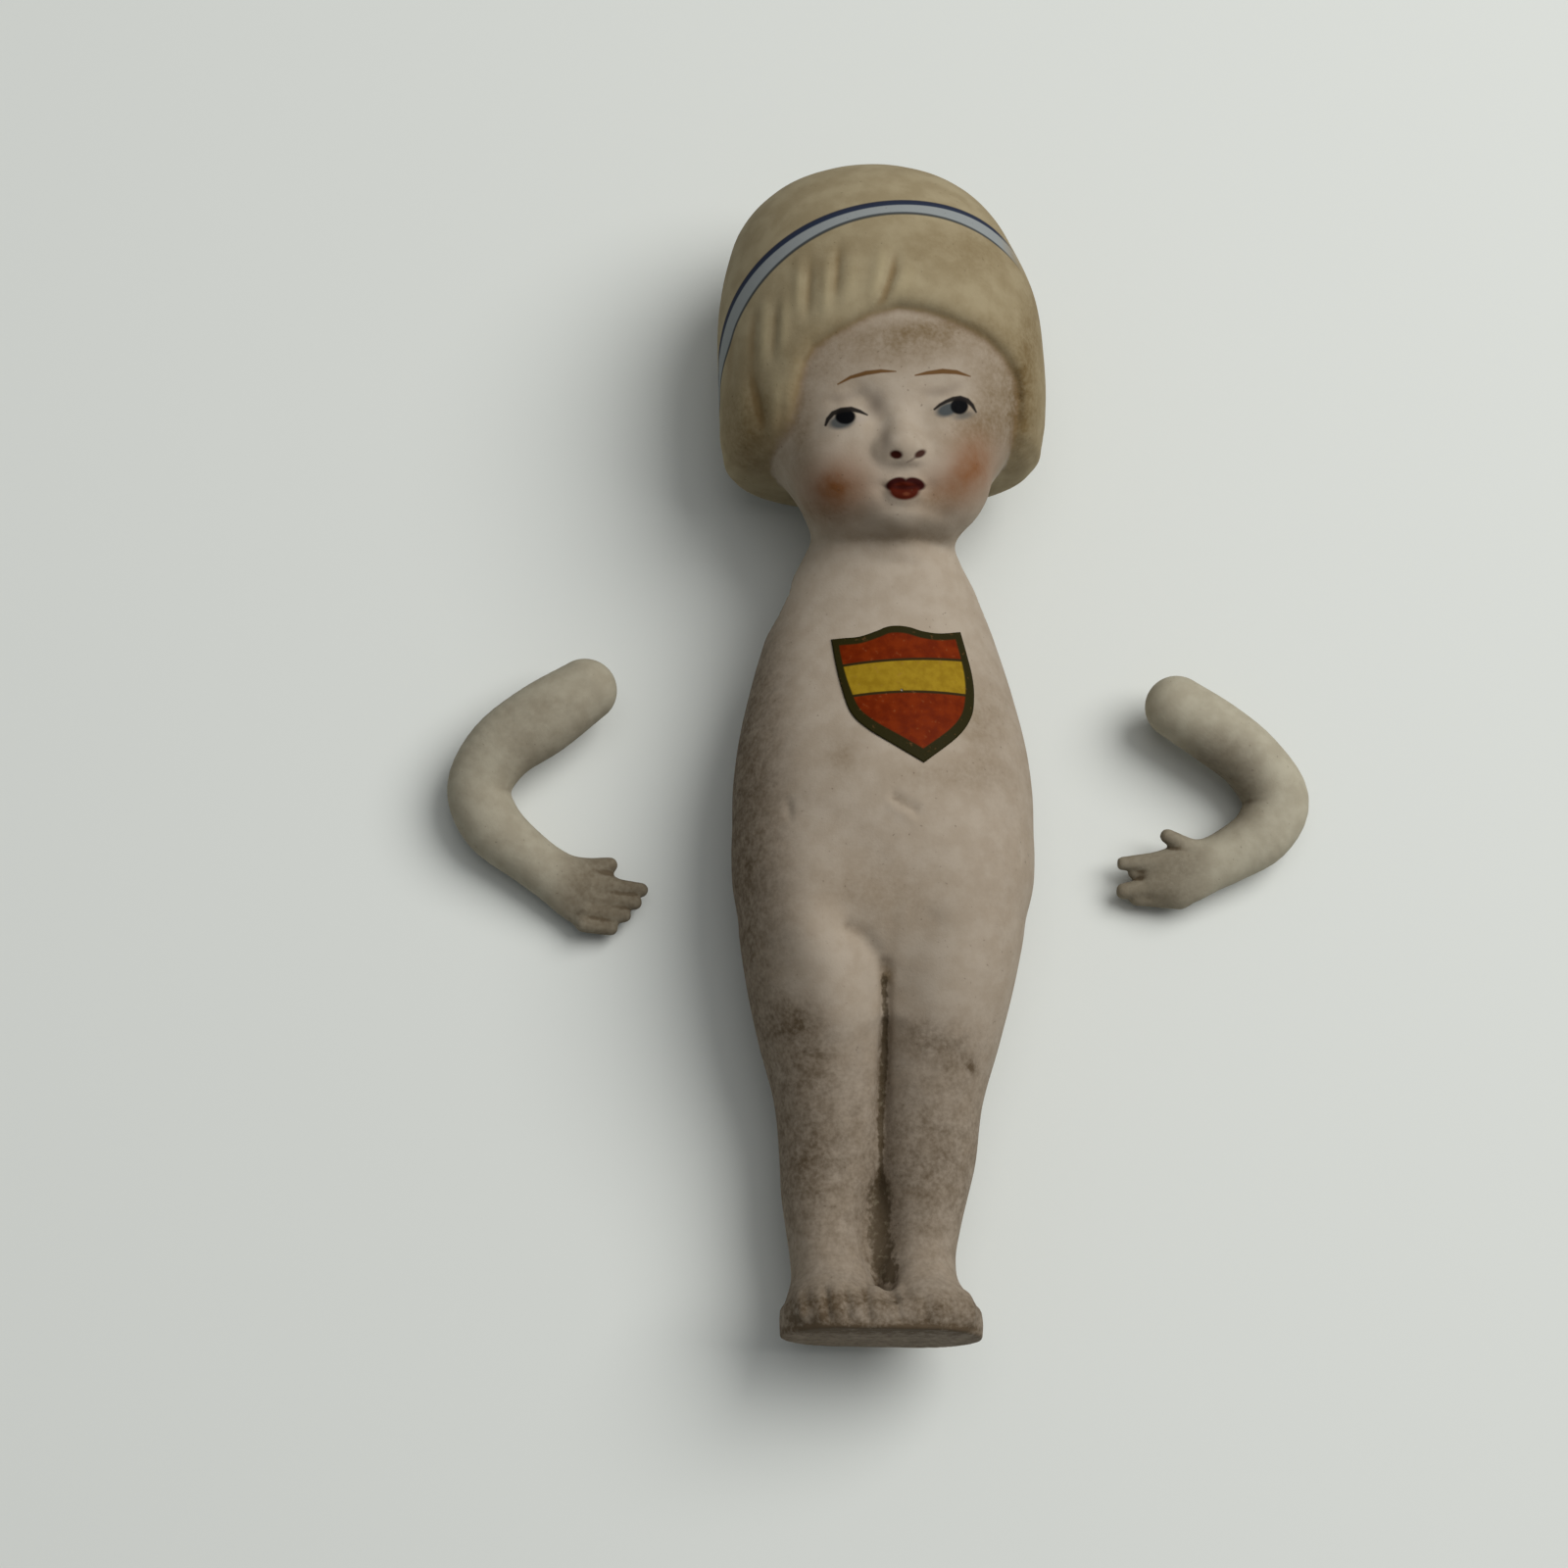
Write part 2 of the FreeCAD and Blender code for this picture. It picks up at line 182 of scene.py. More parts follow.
class Space:
    """Box of sample points, close together where the detail is fine."""

    def __init__(self, x, y, z):
        self.axes = [np.asarray(axis, np.float32) for axis in (x, y, z)]
        self.x = self.axes[0][:, None, None]
        self.y = self.axes[1][None, :, None]
        self.z = self.axes[2][None, None, :]
        self.shape = tuple(len(axis) for axis in self.axes)

    def part(self, low, high):
        """The rows of points between two heights, as a space of its own, and where they are."""
        first, last = np.searchsorted(self.axes[1], (low, high))
        rows = slice(max(first - 1, 0), last + 1)
        return Space(self.axes[0], self.axes[1][rows], self.axes[2]), rows

    def distance(self, value):
        """Turns a value that is zero on the surface into about the distance from it."""
        value = np.broadcast_to(value, self.shape).astype(np.float32)
        slopes = np.gradient(value, *self.axes)
        steepness = np.sqrt(sum(slope * slope for slope in slopes))
        return value / np.maximum(steepness, 1e-2)

    def oval(self, x, middle, half, front, back):
        """Stack of ovals: level distance from their edge, from half widths and reaches."""
        depth = np.where(self.z > middle, front, back)
        across = x / half
        rise = (self.z - middle) / depth
        reach = np.sqrt(across * across + rise * rise) + 1e-4
        slope = np.sqrt((across / half) ** 2 + (rise / depth) ** 2) / reach + 1e-4
        return ((reach - 1) / slope).astype(np.float32)

    def rod(self, start, end, start_radius, end_radius):
        """Tapered rod with round ends."""
        start, end = np.array(start, float), np.array(end, float)
        reach = end - start
        offset = [self.x - start[0], self.y - start[1], self.z - start[2]]
        share = sum(o * r for o, r in zip(offset, reach)) / max(reach @ reach, 1e-9)
        share = np.clip(share, 0, 1)
        gap = sum((o - share * r) ** 2 for o, r in zip(offset, reach))
        return np.sqrt(gap) - (start_radius + share * (end_radius - start_radius))

    def limb(self, stations):
        """Limb of oval section through stations: across, along, half width, half depth, height."""
        form = None
        for start, end in zip(stations, stations[1:]):
            reach_x, reach_y = end[0] - start[0], end[1] - start[1]
            along = (self.x - start[0]) * reach_x + (self.y - start[1]) * reach_y
            share = np.clip(along / (reach_x ** 2 + reach_y ** 2), 0, 1)
            width, depth, height = (start[i] + share * (end[i] - start[i]) for i in (2, 3, 4))
            level = (self.x - start[0] - share * reach_x) ** 2
            level = level + (self.y - start[1] - share * reach_y) ** 2
            rise = (self.z - height) * width / depth
            part = np.sqrt(level + rise ** 2) - width
            form = part if form is None else np.minimum(form, part)
        return form

    def ball(self, centre, radii):
        """Ellipsoid."""
        parts = [(self.x, 0), (self.y, 1), (self.z, 2)]
        reach = np.sqrt(sum(((axis - centre[i]) / radii[i]) ** 2 for axis, i in parts))
        return self.distance(reach - 1)

    def surface(self, field):
        """Points and four-sided faces of the surface where the field is zero."""
        grid = openvdb.FloatGrid(3.0)
        grid.copyFromArray(np.clip(field, -3, 3).astype(np.float32))
        indices, quads = grid.convertToQuads(0.0)
        points = np.stack(
            [np.interp(indices[:, i], np.arange(len(self.axes[i])), self.axes[i]) for i in range(3)],
            axis=1,
        )
        return points, quads.astype(int), indices

    def sample(self, field, indices):
        """Values of a field at fractional indices."""
        base = np.minimum(indices.astype(int), np.array(self.shape) - 2)
        share = indices - base
        total = np.zeros(len(indices))
        for corner in np.ndindex(2, 2, 2):
            weight = np.prod(np.where(corner, share, 1 - share), axis=1)
            at = base + corner
            total += weight * field[at[:, 0], at[:, 1], at[:, 2]]
        return total


def spaced(*stretches):
    """Places along an axis from stretches of (start, end, spacing)."""
    runs = [np.arange(start, end - spacing / 2, spacing) for start, end, spacing in stretches]
    return np.concatenate(runs + [[stretches[-1][1]]])


def neighbour_means(faces, values, rounds):
    """Values after so many rounds of giving each point the mean of its neighbours."""
    size = len(values)
    links = np.maximum(np.bincount(faces.ravel(), minlength=size), 1)
    columns = values.reshape(size, -1).T
    for _ in range(rounds):
        columns = [
            sum(np.bincount(faces[:, i], column[faces[:, (i + 1) % 4]], size) for i in range(4)) / links
            for column in columns
        ]
    return np.stack(columns, axis=1).reshape(values.shape)


def point_normals(points, faces):
    """Outward directions at the points."""
    across = points[faces[:, 2]] - points[faces[:, 0]]
    along = points[faces[:, 3]] - points[faces[:, 1]]
    normal = np.cross(across, along)
    total = sum(
        np.stack([np.bincount(faces[:, i], normal[:, k], len(points)) for k in range(3)], axis=1)
        for i in range(4)
    )
    return total / np.maximum(np.linalg.norm(total, axis=1, keepdims=True), 1e-12)


def hollowness(points, faces, rounds):
    """How deep each point lies below its surroundings, in millimetres."""
    offset = neighbour_means(faces, points, rounds) - points
    return (offset * point_normals(points, faces)).sum(axis=1)


# Trunk from the crotch to the neck: height, sway, half width, middle, front, back
trunk_stations = [
    (31, -0.2, 1.2, 10.2, 3, 4),
    (34, -0.1, 3.8, 10.2, 6.4, 6.5),
    (38, 0, 8.6, 10.3, 8.6, 8),
    (42, 0.1, 12.4, 10.4, 9.5, 9.3),
    (46, 0.15, 14.2, 10.4, 10.3, 9.6),
    (50, 0.15, 14.5, 10.4, 10.6, 9.7),
    (56, 0.15, 14.1, 10.2, 10.4, 8.9),
    (62, 0.1, 12.9, 9.9, 9.5, 8.1),
    (67.5, 0.05, 11.4, 9.6, 8.8, 7.5),
    (72, 0, 9.9, 9.5, 9.2, 7.1),
    (75.5, 0, 8, 9.8, 9.4, 6.3),
    (78, 0, 6.9, 10.5, 8.8, 5.9),
    (82, 0, 6.8, 11.5, 7.6, 6),
]
# Legs and feet: height, sway, outer edge, inner edge, middle, front, back
leg_stations = [
    (-1, -0.2, 8.8, -0.2, 10, 5.7, 4.8),
    (0, -0.2, 8.9, -0.2, 10, 5.9, 4.9),
    (1.5, -0.2, 9.05, -0.2, 10, 6.6, 5.2),
    (3.5, -0.4, 8.55, 0, 9.7, 6.2, 5.5),
    (5.5, -0.65, 7.75, 0.3, 8.9, 5.1, 5.2),
    (7.5, -0.75, 7.7, 0.8, 8.4, 4.4, 4.8),
    (10.5, -0.7, 8.15, 0.8, 8.2, 4.3, 4.9),
    (14, -0.5, 8.8, 0.1, 8.2, 4.7, 5.6),
    (16, -0.3, 9.1, -0.45, 8.2, 5, 5.9),
    (22.4, -0.2, 9.85, -0.7, 8.7, 5.9, 6.3),
    (28, -0.2, 11.4, -0.9, 9.3, 7, 7.3),
    (34.5, -0.1, 12.9, -0.9, 9.9, 8.5, 8.8),
    (39, 0, 13.6, -0.5, 10.2, 8.9, 9.8),
    (44, 0.15, 13.6, 0.2, 10.2, 8.2, 10),
    (48, 0.15, 11.5, 1.5, 10.2, 6, 8),
    (51, 0.15, 8.5, 3.5, 10.2, 2.5, 4),
]
# Face and hair before the head leans: height, half width, middle, front, back
head_pivot = 93.2
head_lean = math.radians(3.0)
face_stations = [
    (75, 0.5, 17.4, 0.5, 2),
    (75.6, 3.4, 17.6, 3.6, 4.4),
    (76.6, 5.2, 17.6, 5.5, 6.2),
    (79, 7.5, 16.2, 8.2, 8.6),
    (82, 9.5, 15.3, 9.5, 10),
    (86, 12.1, 14.8, 10.2, 11),
    (90, 13.7, 14.5, 11.1, 11),
    (95, 14.2, 14.3, 11.9, 11.5),
    (100, 13.2, 14.2, 11.4, 11.5),
    (105, 10.8, 14, 9.6, 10),
]
# Hair: height, sway, half width, middle, front, back
hair_stations = [
    (84.5, -0.1, 9.6, 9, 7.5, 5.6),
    (85.1, -0.1, 13.4, 9.7, 11.4, 7.9),
    (86.1, -0.1, 15.2, 10.4, 13, 9.4),
    (87.9, -0.1, 15.9, 11.3, 13.9, 10.8),
    (91, 0, 16.15, 12.3, 14.4, 12.2),
    (96, 0, 16.2, 13, 14.4, 13),
    (102, -0.1, 15.8, 13.2, 14.1, 13.1),
    (107, -0.4, 14.4, 13.1, 12.9, 12.6),
    (110, -0.5, 13.2, 13, 11.4, 11.5),
    (113, -0.45, 11, 12.7, 9.3, 9.6),
    (115, -0.4, 8.4, 12.4, 7, 7.2),
    (116.1, -0.3, 5.2, 12.3, 4.4, 4.5),
    (116.45, -0.3, 0.4, 12.2, 0.4, 0.4),
]
# Edge of the hair round the face, from the left jaw over the brow to the right jaw
hairline = [
    (-11.2, 73), (-10.5, 78), (-9.8, 81.4), (-9.5, 83.3), (-9.3, 85.2), (-9.2, 87.3), (-9.1, 89.5),
    (-8.7, 91.3), (-7.9, 92.5), (-6.6, 93.3), (-5.2, 94), (-2.8, 95.3), (-0.1, 96.1), (2.6, 95.9),
    (5.8, 95.2), (8.7, 94.4), (10.7, 93.3), (12, 91.9), (12.5, 90.2), (12.4, 88.1), (11.8, 86),
    (11, 84), (9.8, 81.3), (9.6, 73),
]
hair_opening_floor = 16.0

# Hairband: the height of its lower edge on the middle line, how that climbs with z and x, its
# width at its narrowest, where that is and how fast it widens to the sides
band_height = 84.99
band_climb_up = 0.807
band_climb_across = 0.200
band_width = 1.45
band_waist = -3.0
band_flare = 0.0058

# Relief that the moulds gave the front, as strokes in the picture: height in millimetres, width in
# pixels and the points of the stroke
hair_relief = [
    (0.16, 6, [(818, 250), (815, 290), (812, 338)]),
    (-0.18, 5, [(828, 252), (825, 296), (822, 338)]),
    (0.18, 7, [(846, 246), (844, 292), (840, 338)]),
    (-0.22, 5, [(857, 238), (854, 276), (849, 318)]),
    (0.12, 8, [(873, 244), (868, 282), (861, 326)]),
    (0.20, 7, [(902, 240), (897, 278), (887, 316)]),
    (-0.30, 5, [(916, 246), (911, 278), (902, 304), (884, 325)]),
    (0.14, 10, [(932, 256), (922, 288), (907, 314)]),
    (0.15, 7, [(804, 284), (800, 328), (796, 376)]),
    (-0.18, 5, [(793, 296), (790, 338), (786, 382)]),
    (0.17, 7, [(783, 286), (780, 338), (777, 388)]),
    (-0.20, 5, [(771, 304), (768, 344), (767, 386)]),
    (-0.34, 6, [(765, 362), (769, 395), (775, 420), (783, 456)]),
    (0.22, 9, [(790, 366), (793, 410), (789, 444), (780, 484)]),
    (0.18, 8, [(756, 368), (758, 425), (764, 476)]),
    (-0.18, 6, [(748, 326), (744, 366), (743, 412)]),
    (0.15, 7, [(808, 374), (803, 418), (796, 456), (788, 490)]),
    (-0.14, 5, [(800, 384), (798, 428), (791, 470)]),
]
face_relief = [
    (-0.50, 15, [(893, 424), (887, 408), (876, 402)]),
    (-0.34, 14, [(944, 412), (953, 400), (968, 397)]),
    (-0.14, 8, [(852, 408), (864, 404), (878, 404)]),
    (0.24, 12, [(850, 431), (862, 425), (876, 427)]),
    (0.24, 12, [(960, 420), (974, 413), (988, 418)]),
    (-0.16, 4, [(913, 464), (916, 464)]),
    (-0.12, 4, [(937, 464.5), (940, 463)]),
    (0.26, 6, [(909, 494), (916, 491), (922, 493)]),
    (0.26, 6, [(926, 493), (933, 490), (939, 494)]),
    (0.36, 8, [(911, 503), (923, 505), (935, 502)]),
    (-0.16, 3, [(903, 497), (923, 499), (942, 497)]),
    (-0.16, 7, [(899, 499), (902, 503)]),
    (-0.16, 7, [(948, 497), (945, 501)]),
    (-0.14, 8, [(908, 515), (923, 518), (938, 515)]),
]
body_relief = [
    (-0.30, 5, [(913, 813), (935, 826)]),
    (0.12, 6, [(911, 822), (931, 835)]),
    (-0.16, 5, [(804, 821), (805, 831)]),
    (-0.08, 2, [(934, 925), (929, 932)]),
    (0.80, 34, [(832, 955), (850, 985), (858, 1030)]),
    (-0.34, 20, [(858, 928), (876, 944), (892, 966)]),
    (-0.42, 9, [(866, 946), (881, 956), (894, 973), (901, 992)]),
    (-0.30, 5, [(903, 984), (903, 1004)]),
    (-0.50, 5, [(903, 1006), (903, 1030), (901, 1090), (899, 1150), (899, 1225)]),
    (-0.26, 14, [(914, 985), (932, 962), (950, 940)]),
    (-1.10, 13, [(899, 1236), (899, 1262), (902, 1288)]),
    (-0.35, 6, [(904, 1296), (911, 1322)]),
    (-0.26, 4, [(842, 1316), (845, 1344)]),
    (-0.26, 4, [(863, 1314), (866, 1344)]),
    (-0.26, 4, [(883, 1316), (886, 1344)]),
    (-0.22, 4, [(915, 1322), (918, 1346)]),
    (-0.12, 5, [(944, 1326), (945, 1348)]),
    (-0.12, 5, [(970, 1326), (972, 1348)]),
    (-0.16, 5, [(822, 1322), (824, 1348)]),
]

# Soft patches in the picture: column, row, reach across, reach down and strength
blush_patches = [
    (856, 496, 38, 31, 0.70), (846, 502, 22, 20, 0.30), (994, 472, 24, 30, 0.80), (968, 498, 28, 24, 0.55),
]
# Stains, with painted shade: under the fringe on the forehead, under the chin along the neck and on the
# hair's sides beside the face
stain_patches = [
    (925, 350, 76, 26, 0.52), (1012, 400, 24, 56, 0.42), (990, 440, 40, 26, 0.34), (962, 508, 30, 17, 0.42),
    (842, 375, 26, 34, 0.30), (822, 455, 16, 50, 0.22),
    (845, 522, 40, 16, 0.40), (905, 549, 74, 7, 0.36), (816, 420, 12, 60, 0.25), (1056, 330, 14, 70, 0.34),
    (1000, 738, 26, 44, 0.34), (860, 770, 20, 22, 0.34), (972, 792, 60, 16, 0.30), (906, 994, 7, 12, 0.60),
    (1043, 410, 16, 66, 0.66), (1010, 262, 40, 34, 0.28), (960, 250, 40, 24, 0.22), (765, 440, 30, 60, 0.60),
    (850, 262, 60, 20, 0.16), (880, 900, 60, 26, 0.16), (915, 930, 60, 34, 0.20), (960, 335, 60, 12, 0.30),
]
soil_patches = [
    (812, 1040, 24, 22, 0.46), (828, 1080, 28, 36, 0.36), (940, 1056, 32, 22, 0.32),
    (975, 1076, 24, 28, 0.32), (992, 1089, 4, 5, 0.6), (825, 1180, 26, 80, 0.26),
    (905, 1190, 110, 120, 0.3), (960, 1180, 30, 70, 0.16), (845, 1332, 60, 20, 0.46),
    (965, 1338, 60, 18, 0.46), (905, 1356, 110, 4, 0.36), (811, 1346, 7, 5, 0.6),
    (905, 880, 110, 70, 0.1), (838, 1344, 6, 5, 0.55), (828, 1356, 10, 4, 0.5),
]
crack_dirt = [(903, 988), (904, 1030), (902, 1090), (899, 1150), (899, 1215)]
pit_dirt = [(898, 1215), (898, 1262), (904, 1298)]


def stroke_amount(column, row, points, width, taper=0.0):
    """1 along a line of picture points, fading out at about one and a half widths away.

    A taper is the share of the line's length over which each of its ends fades out.
    """
    lengths = [math.dist(start, end) for start, end in zip(points, points[1:])]
    nearest = np.full(len(column), np.inf)
    along_all = np.zeros(len(column))
    done = 0.0
    for (x0, y0), (x1, y1), length in zip(points, points[1:], lengths):
        share = ((column - x0) * (x1 - x0) + (row - y0) * (y1 - y0)) / length ** 2
        share = np.clip(share, 0, 1)
        gap = (column - x0 - share * (x1 - x0)) ** 2 + (row - y0 - share * (y1 - y0)) ** 2
        along_all = np.where(gap < nearest, (done + share * length) / sum(lengths), along_all)
        nearest = np.minimum(nearest, gap)
        done += length
    amount = np.exp(-nearest / width ** 2)
    if taper:
        amount *= smoothstep(0, taper, along_all) * smoothstep(1, 1 - taper, along_all)
    return amount


def patch_amount(column, row, patches):
    """Sum of soft patches."""
    return sum(
        strength * np.exp(-((column - x) / across) ** 2 - ((row - y) / down) ** 2)
        for x, y, across, down, strength in patches
    )


# Web behind the pit between the ankles
web_middle = (-0.5, 9.0, 6.4)
web_reaches = (2.6, 9.0, 3.4)
# Common edge of the feet: middle level, half width, front and back
foot_sway = -0.2
foot_oval = (10.0, 8.9, 6.4, 5.0)
foot_edge_height = 2.2
legs_top = 50.0
# Toes, thinner and closer from the middle line outward
toe_count = 5
toe_radius = 1.15
toe_thinning = 0.07
toe_start = 0.98
toe_spacing = 1.78
toe_crowding = 0.03
toe_sway = -0.3
toe_root = (3.3, 14.3)
toe_tip = (1.5, 16.0)
toe_root_share = 0.9
toe_bend = 2.2
toe_bend_width = 9.4
left_toe_drop = 0.6
right_toe_drop = 0.45
leg_blend = 0.5
web_blend = 1.4
foot_blend = 1.6
toe_blend = 0.7


def legs(space):
    """Two legs pressed together, with the pit between the ankles and both feet."""
    columns = [smooth_column(leg_stations, column, space.y) for column in range(1, 7)]
    sway, outer, inner, middle, front, back = columns
    form = None
    for side in (-1, 1):
        half = (outer - inner) / 2
        x = space.x - sway - side * (outer + inner) / 2
        leg = space.oval(x, middle, half, front, back)
        form = leg if form is None else smooth_union(form, leg, leg_blend)
    form = smooth_union(form, space.ball(web_middle, web_reaches), web_blend)
    foot_edge = space.oval(space.x - foot_sway, *foot_oval)
    form = smooth_union(form, np.maximum(foot_edge, space.y - foot_edge_height), foot_blend)
    for side, drop in ((-1, right_toe_drop), (1, left_toe_drop)):
        for place in range(toe_count):
            radius = toe_radius - toe_thinning * place
            reach = toe_start + toe_spacing * place * (1 - toe_crowding * place)
            across = side * reach + toe_sway
            fall = toe_bend * (abs(across) / toe_bend_width) ** 4 + drop
            root = (across, toe_root[0], toe_root[1] - fall)
            tip = (across, toe_tip[0], toe_tip[1] - fall)
            toe = space.rod(root, tip, radius * toe_root_share, radius)
            form = smooth_union(form, toe, toe_blend)
    return np.maximum(form, space.y - legs_top)


def trunk(space):
    columns = [smooth_column(trunk_stations, column, space.y) for column in range(1, 6)]
    sway, half, middle, front, back = columns
    form = space.oval(space.x - sway, middle, half, front, back)
    form = np.maximum(form, trunk_stations[0][0] - space.y)
    return np.maximum(form, space.y - trunk_stations[-1][0])


# Cheeks, chin, nose and its wings: middles or ends, then reaches or radii, then the blend
face_sway = 0.2
cheek = ((4.6, 81.2, 18.9), (4.3, 4.2, 5.0), 3.0)
chin = ((0.6, 76.8, 21.2), (2.8, 1.7, 2.6), 1.8)
nose = ((0.1, 85.8, 23.8), (0.2, 82.4, 24.9), 0.7, 1.75, 1.5)
nose_wing = ((1.5, 81.9, 24.4), (1.0, 1.0, 0.95), 0.9)
nose_sway = 0.25
hair_opening_blend = 2.0


def add_pair(space, form, bump, sway):
    """Adds the same bump on both sides of a middle line."""
    (across, height, level), reaches, blend = bump
    for side in (-1, 1):
        form = smooth_union(form, space.ball((side * across + sway, height, level), reaches), blend)
    return form


def head(space):
    """Skin and hair of the head, leaning a little to one side."""
    cosine, sine = math.cos(head_lean), math.sin(head_lean)
    x = cosine * space.x + sine * (space.y - head_pivot)
    y = cosine * (space.y - head_pivot) - sine * space.x + head_pivot

    half, middle, front, back = (smooth_column(face_stations, c, y) for c in range(1, 5))
    face = space.oval(x, middle, half, front, back)
    face = np.maximum(face, face_stations[0][0] - y)
    face = np.maximum(face, y - face_stations[-1][0])
    face = add_pair(space, face, cheek, face_sway)
    face = smooth_union(face, space.ball(*chin[:2]), chin[2])
    face = smooth_union(face, space.rod(*nose[:4]), nose[4])
    face = add_pair(space, face, nose_wing, nose_sway)

    sway, middle = (smooth_column(hair_stations, c, y) for c in (1, 3))
    half, front, back = (smooth_column(hair_stations, c, y, 2) for c in (2, 4, 5))
    hair = space.oval(x - sway, middle, half, front, back)
    hair = np.maximum(hair, y - hair_stations[-1][0])
    hair = np.maximum(hair, hair_stations[0][0] - y)
    opening = outline_distance(space.x, space.y, hairline)
    opening = np.maximum(opening, hair_opening_floor - space.z)
    hair = smooth_cut(hair, opening, hair_opening_blend)
    return face, hair


# Heights that each part of the casting spans, and how softly the parts join
legs_reach = (-2.0, 55.0)
trunk_reach = (28.0, 88.0)
head_reach = (73.5, 118.0)
hip_blend = 3.6
neck_blend = 2.6
hair_blend = 0.5
facet_blend = 0.3
bore_blend = 0.25
far_off = 50.0


def casting_fields(space):
    """The whole casting, and how far its skin lies outside its hair."""
    skin = np.full(space.shape, far_off, np.float32)
    hair = np.full(space.shape, far_off, np.float32)

    low, rows = space.part(*legs_reach)
    skin[:, rows] = legs(low)
    middle, rows = space.part(*trunk_reach)
    skin[:, rows] = smooth_union(skin[:, rows], trunk(middle), hip_blend)
    high, rows = space.part(*head_reach)
    face, locks = head(high)
    skin[:, rows] = smooth_union(skin[:, rows], face, neck_blend)
    hair[:, rows] = locks
    whole = smooth_union(skin, hair, hair_blend)
    whole = np.maximum(whole, -space.y)
    whole = np.maximum(whole, -space.z)
    shoulder = hole_middle - doll_origin
    away = np.sqrt((space.y - shoulder.y) ** 2 + (space.z - shoulder.z) ** 2)
    for side in (-1, 1):
        facet = np.maximum(away - 2 * hole_radius, hole_length / 2 - side * space.x)
        whole = smooth_cut(whole, facet, facet_blend)
    whole = smooth_cut(whole, away - hole_radius, bore_blend)
    return whole, skin - hair


def new_piece(name, points, faces, origin, **attributes):
    """Mesh object in the frame from points about an origin, with values for its material."""
    mesh = bpy.data.meshes.new(name)
    mesh.from_pydata(((points + np.array(origin)) * MM).tolist(), [], faces.tolist())
    mesh.polygons.foreach_set("use_smooth", np.ones(len(faces), bool))
    mesh.update()
    for attribute_name, values in attributes.items():
        attribute = mesh.attributes.new(attribute_name, "FLOAT", "POINT")
        attribute.data.foreach_set("value", np.asarray(values, np.float32))
    piece = bpy.data.objects.new(name, mesh)
    bpy.context.scene.collection.objects.link(piece)
    return piece


# Sample spacing of the casting
casting_across = ((-17.6, -10.0, 0.3), (-10.0, 10.4, 0.22), (10.4, 17.3, 0.3))
casting_along = ((-0.6, 6.0, 0.25), (6.0, 74.0, 0.42), (74.0, 97.0, 0.22), (97.0, 117.2, 0.3))
casting_levels = ((-0.6, 14.0, 0.35), (14.0, 28.6, 0.22))
# Places where something sets in, each from none to full
face_levels = (14, 18)
chest_levels = (11, 13)
upper_levels = (4, 8)
back_levels = (15, 11)
below_chest = (72, 66)
hollow_depths = (0.02, 0.30)
band_side = (13.5, 10.0)
band_levels = (4, 9)
strand_start = (86, 89)
strand_end = (110, 97)
# Strands combed round the back of the hair
strand_relief = 0.07
strand_count = 26
strand_middle = 13
strand_wave = 0.5
strand_wave_rate = 0.35
hair_edge = (-0.4, 0.4)
hair_stroke_taper = 0.45
hair_paint_taper = 0.4
soft_hair_edge = [(796, 450, 24, 56, 0.65)]
# The crack between the legs: widths in pixels, and how much of it is smoothed
crack_width = 3.2
crack_taper = 0.06
pit_width = 15
crack_region_width = 12
crack_smoothing = 1.5
crack_rounds = 3
hollow_rounds = 12


def back_strands(points, hair):
    """Height of the shallow strands on the hair's back."""
    x, y, z = points.T
    turn = np.arctan2(x, z - strand_middle)
    wave = strand_wave * np.sin(strand_wave_rate * y)
    strands = np.cos(strand_count * turn + wave) * smoothstep(*back_levels, z)
    strands *= smoothstep(*strand_start, y) * smoothstep(*strand_end, y)
    return strand_relief * strands * smoothstep(*hair_edge, hair)


# Soil and painted shade in whole zones, of the lower legs, both flanks and the sole: strength, then axis and
# places of none and full
# Dirt with painted shade in the hollows
crevice_soil = 0.4
soil_zones = [
    # Lower legs: darker towards the feet
    (0.24, [(1, 36, 18)]),
    # Flank at negative x, which faces away from the key lamp: painted shade with some dirt
    (0.68, [(0, -7, -14), (1, 88, 66)]),
    # Flank at positive x: a little darker
    (0.12, [(0, 5, 12), (1, 78, 66)]),
    # Sole: dirt and painted shade where it faces away from the lamps
    (0.32, [(1, 1.2, 0)]),
]


def casting_soil(points, column, row, hollow):
    """Dirt in patches, dirt and painted shade in hollows, and soil and painted shade in whole zones."""
    soil = patch_amount(column, row, soil_patches) * smoothstep(*upper_levels, points[:, 2])
    soil += crevice_soil * smoothstep(*hollow_depths, hollow) * smoothstep(*below_chest, points[:, 1])
    for strength, ramps in soil_zones:
        soil += strength * math.prod(smoothstep(*ends, points[:, axis]) for axis, *ends in ramps)
    return soil


